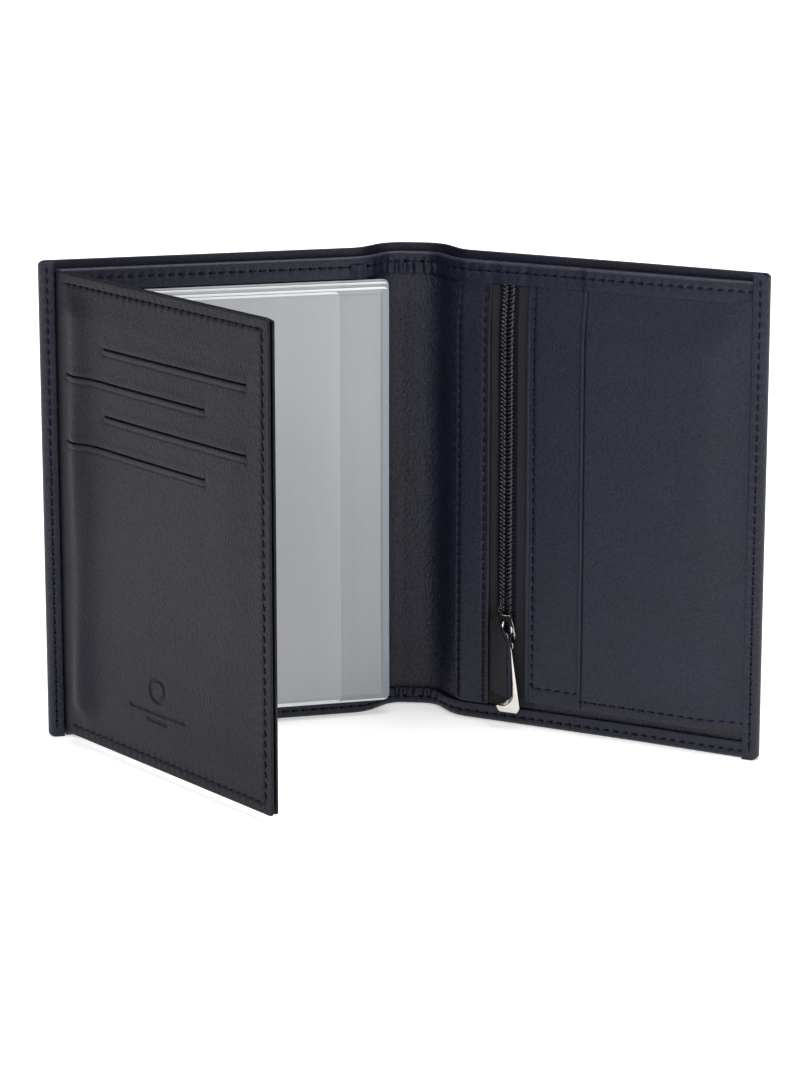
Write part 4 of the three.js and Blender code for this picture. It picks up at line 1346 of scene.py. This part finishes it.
class HOLDER_OT_zip_slider(bpy.types.Operator):
    """The slider, its bail, the flared nickel pull and the leather tab that hangs with it"""

    bl_idname = "holder.zip_slider"
    bl_label = "Zip slider"

    def execute(self, context):
        leaf = leaves()[1]
        metal = finish("bright_nickel")
        body = leaf.strip.extent("zip_slider_body")
        bail = leaf.strip.extent("zip_bail")
        pull = leaf.strip.extent("zip_pull_plate")
        pivot = joint_place("zip_pull_swing")
        centre = (body.u0 + body.u1) / 2
        self.body(leaf, metal, body, centre)
        self.bail(leaf, metal, body, bail, centre)
        self.pull(leaf, metal, pull, centre, pivot[2])
        self.tab(leaf)
        return {"FINISHED"}

    def body(self, leaf, metal, body, centre):
        half = (body.u1 - body.u0) / 2
        plate = 0.55 * MM  # thickness of the slider's metal
        outline = [(0.35, 0), (1, 2.9 * MM), (0.95, 3.6 * MM), (0.62, body.z1 - body.z0 - 2.2 * MM),
                   (0.56, body.z1 - body.z0)]
        loop = round_loop([(centre + half * k, body.z0 + rise) for k, rise in outline]
                          + [(centre - half * k, body.z0 + rise) for k, rise in reversed(outline)], 0.45 * MM)
        top = cut_plate("slider_top", [loop], body.w1 - plate, body.w1, 0.27 * MM, leaf.at, metal)
        # only the bevel is bright: the flat front is a dull dark finish that stands for a dark reflection
        top.data.materials.append(finish("shaded_nickel"))
        front = Vector(leaf.facing(centre))
        for face in top.data.polygons:
            if abs(face.normal.dot(front)) > 0.9:
                face.material_index = 1
        rails = []
        for sign in (-1, 1):
            outer = centre + sign * half * 0.8
            inner = outer - sign * plate
            wall = round_loop([(inner, body.z0 + 2 * MM), (outer, body.z0 + 2.6 * MM),
                               (outer, body.z0 + 4.4 * MM), (inner, body.z0 + 4.8 * MM)], 0.15 * MM)
            rails.append(cut_plate(f"slider_rail_{sign}", [wall], body.w0, body.w1 - plate * 0.6, 0.1 * MM, leaf.at,
                                   metal))
        piece = join("slider_shell", [top, *rails])
        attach(piece, "zip_slider")
        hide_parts("zip_slider_body")

    def bail(self, leaf, metal, body, bail, centre):
        wire_size = 0.62 * MM
        foot = body.w1 - 0.15 * MM
        peak = bail.w1 - wire_size / 2
        heights = np.array([bail.z0 + 0.2 * MM, bail.z0 + 0.2 * MM, bail.z0 + 0.9 * MM, bail.z0 + 2.3 * MM,
                            bail.z1 - 1.6 * MM, bail.z1 - 0.5 * MM, bail.z1 - 0.3 * MM])
        levels = np.array([foot, (foot + peak) / 2, peak - 0.1 * MM, peak, (foot * 0.35 + peak * 0.65),
                           foot + 0.3 * MM, foot - 0.1 * MM])
        t = np.linspace(0, len(heights) - 1, 37)
        z = self.soften(np.interp(t, range(len(heights)), heights))
        w = self.soften(np.interp(t, range(len(levels)), levels))
        line = leaf.at(np.full(len(t), centre), w, z)
        along = leaf.at(centre + 1 * MM, 0, 0) - leaf.at(centre, 0, 0)
        piece = tube("slider_bail", line, wire_size, 0.85 * MM, along, metal)
        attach(piece, "zip_slider")
        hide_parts("zip_bail")

    def soften(self, values):
        for _ in range(3):
            values = np.concatenate([values[:1], (values[:-2] + 2 * values[1:-1] + values[2:]) / 4, values[-1:]])
        return values

    def pull(self, leaf, metal, pull, centre, height):
        eye = 1.25 * MM  # half the width of the hole that the bail passes through
        ring = 0.55 * MM  # metal round it
        low = height - 2.6 * MM
        stem = centre + 3.7 * MM
        outline = round_loop([
            (centre - eye - ring, height + 0.95 * MM), (centre - eye - ring, low - ring),
            (stem - 1.5 * MM, low - 1.9 * MM), (stem - 0.15 * MM, pull.z0 + 9 * MM),
            (stem - 0.3 * MM, pull.z0 + 5 * MM),
            (pull.u1 - 3.9 * MM, pull.z0 + 2.7 * MM), (pull.u1 - 6.2 * MM, pull.z0 + 1.7 * MM, 0.4 * MM),
            (pull.u1 - 5.2 * MM, pull.z0), (pull.u1 + 0.5 * MM, pull.z0),
            (pull.u1 + 1.3 * MM, pull.z0 + 1.6 * MM), (stem - 0.6 * MM, low - 1.3 * MM),
            (centre + eye + ring, height + 0.95 * MM)], 0.55 * MM)
        hole = round_loop([(centre - eye, height + 0.45 * MM), (centre - eye, low), (centre + eye, low),
                           (centre + eye, height + 0.45 * MM)], 0.4 * MM)
        piece = cut_plate("pull_plate", [outline, hole], pull.w0, pull.w1, 0.14 * MM, leaf.at, metal)
        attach(piece, "zip_pull")
        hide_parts("zip_pull_plate")

    def tab(self, leaf):
        """Two leathers glued face to face; the front one stops short, so the rear one's raw edge shows."""
        across = 2.4 * MM  # the tab hangs over the slider's left half
        for node, name, short, skin in (("zip_tab_rear", "leather_tab_rear", 0, "raw_edge"),
                                        ("zip_tab_front", "leather_tab_front", 0.95 * MM, "tab_calf")):
            tab = leaf.strip.extent(node)
            low, high = tab.u0 + across, tab.u1 + across + 0.9 * MM - short
            wide = high - low
            toe = wide / 2
            foot = tab.z0 + short * 0.4
            loop = [(high, tab.z1 - 8.5 * MM, 1.2 * MM), (low + 1.4 * MM, tab.z1, 0.4 * MM),
                    (low, tab.z1 - 0.6 * MM, 0.4 * MM), (low + 0.3 * MM, foot + toe, 0.5 * MM)]
            arc = [(low + wide / 2 + 0.15 * MM - math.cos(a) * (wide / 2 - 0.2 * MM), foot + toe - math.sin(a) * toe)
                   for a in np.linspace(0.15, math.pi - 0.1, 14)]
            outline = round_loop(loop, 0.5 * MM) + arc
            thick = 0.12 * MM if short else 0
            piece = cut_plate(name, [outline], tab.w0 - thick, tab.w1 + thick, 0.17 * MM, leaf.at, finish(skin))
            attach(piece, "zip_pull")
            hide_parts(node)


class HOLDER_OT_boards(bpy.types.Operator):
    """The fibre boards inside the covers, which stay as the frame has them"""

    bl_idname = "holder.boards"
    bl_label = "Boards"

    def execute(self, context):
        for side in ("left", "right"):
            wear(f"stiffener_cover_{side}", "fibre_board")
        return {"FINISHED"}


class HOLDER_OT_stage(bpy.types.Operator):
    """A plain pale floor, soft lights and the camera"""

    bl_idname = "holder.stage"
    bl_label = "Stage"

    def execute(self, context):
        settings = context.scene.holder_stage
        self.floor()
        self.lights(context, settings)
        camera = bpy.data.cameras.new("camera")
        camera.sensor_width = 36  # millimetres
        camera.lens = settings.lens
        camera.shift_y = settings.shift
        viewer = bpy.data.objects.new("camera", camera)
        viewer.location = settings.place
        viewer.rotation_euler = (math.pi / 2 - settings.pitch, 0, settings.turn)
        context.scene.collection.objects.link(viewer)
        context.scene.camera = viewer
        context.scene.view_settings.view_transform = "Standard"
        return {"FINISHED"}

    def floor(self):
        size = 12  # metres from the middle to a side
        mesh = bpy.data.meshes.new("floor")
        mesh.from_pydata([(-size, -size, 0), (size, -size, 0), (size, size, 0), (-size, size, 0)], [],
                         [(0, 1, 2, 3)])
        material, main = shader("pale_floor", 0.9)
        main.inputs["Base Color"].default_value = (0.93, 0.93, 0.93, 1)
        main.inputs["Specular IOR Level"].default_value = 0.1
        main.inputs["Emission Color"].default_value = (1, 1, 1, 1)
        # the paper stays white out of the lamps' reach
        away = add(material, "ShaderNodeVectorMath", operation="LENGTH")
        wire(material, object_place(material), away.inputs[0])
        glow = add(material, "ShaderNodeMapRange", interpolation_type="SMOOTHSTEP")
        glow.inputs["From Min"].default_value = 0.2
        glow.inputs["From Max"].default_value = 0.8
        glow.inputs["To Min"].default_value = 0.43
        glow.inputs["To Max"].default_value = 0.95
        wire(material, away.outputs["Value"], glow.inputs["Value"])
        wire(material, glow.outputs["Result"], main.inputs["Emission Strength"])
        new_object("floor", mesh, material)

    def lights(self, context, settings):
        """A room that looks white and gives a weaker, even light, with three soft lamps."""
        world = bpy.data.worlds.new("white_room")
        world.use_nodes = True
        tree = world.node_tree
        seen = tree.nodes["Background"]
        seen.inputs["Color"].default_value = (1, 1, 1, 1)
        seen.inputs["Strength"].default_value = 1.0
        given = tree.nodes.new("ShaderNodeBackground")
        given.inputs["Color"].default_value = (0.96, 0.98, 1, 1)
        given.inputs["Strength"].default_value = settings.sky
        path = tree.nodes.new("ShaderNodeLightPath")
        mix = tree.nodes.new("ShaderNodeMixShader")
        tree.links.new(path.outputs["Is Camera Ray"], mix.inputs["Fac"])
        tree.links.new(given.outputs["Background"], mix.inputs[1])
        tree.links.new(seen.outputs["Background"], mix.inputs[2])
        tree.links.new(mix.outputs["Shader"], tree.nodes["World Output"].inputs["Surface"])
        context.scene.world = world
        aim = Vector((0, 0, 0.07))
        for name, place, size, power in (
            ("key", (-0.55, -0.75, 1.0), 0.6, 8),
            ("top", (0.2, 0.15, 1.3), 0.9, 16),
            ("fill", (0.9, -0.8, 0.6), 0.8, 2.5),
        ):
            lamp = bpy.data.lights.new(name, "AREA")
            lamp.size = size
            lamp.energy = power
            item = bpy.data.objects.new(name, lamp)
            item.location = place
            item.rotation_euler = (aim - Vector(place)).to_track_quat("-Z", "Y").to_euler()
            context.scene.collection.objects.link(item)


OPERATORS = (
    HOLDER_OT_outer_leather,
    HOLDER_OT_lining,
    HOLDER_OT_slip_pocket,
    HOLDER_OT_pages,
    HOLDER_OT_card_flap,
    HOLDER_OT_zip_pocket,
    HOLDER_OT_zip_slider,
    HOLDER_OT_boards,
    HOLDER_OT_stage,
)


class HOLDER_PT_panel(bpy.types.Panel):
    """The holder's pieces and their sizes"""

    bl_idname = "HOLDER_PT_panel"
    bl_label = "Passport holder"
    bl_space_type = "VIEW_3D"
    bl_region_type = "UI"
    bl_category = "Holder"

    def draw(self, context):
        for name, group in SETTINGS.items():
            box = self.layout.box()
            for key in group.__annotations__:
                box.prop(getattr(context.scene, name), key)
        for operator in OPERATORS:
            self.layout.operator(operator.bl_idname)


CLASSES = (*SETTINGS.values(), *OPERATORS, HOLDER_PT_panel)


def register():
    for item in CLASSES:
        bpy.utils.register_class(item)
    for name, group in SETTINGS.items():
        setattr(bpy.types.Scene, name, bpy.props.PointerProperty(type=group))


def unregister():
    for name in SETTINGS:
        delattr(bpy.types.Scene, name)
    for item in reversed(CLASSES):
        bpy.utils.unregister_class(item)


def main():
    register()
    for operator in OPERATORS:
        group, name = operator.bl_idname.split(".")
        getattr(getattr(bpy.ops, group), name)()
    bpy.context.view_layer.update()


if __name__ == "__main__":
    main()
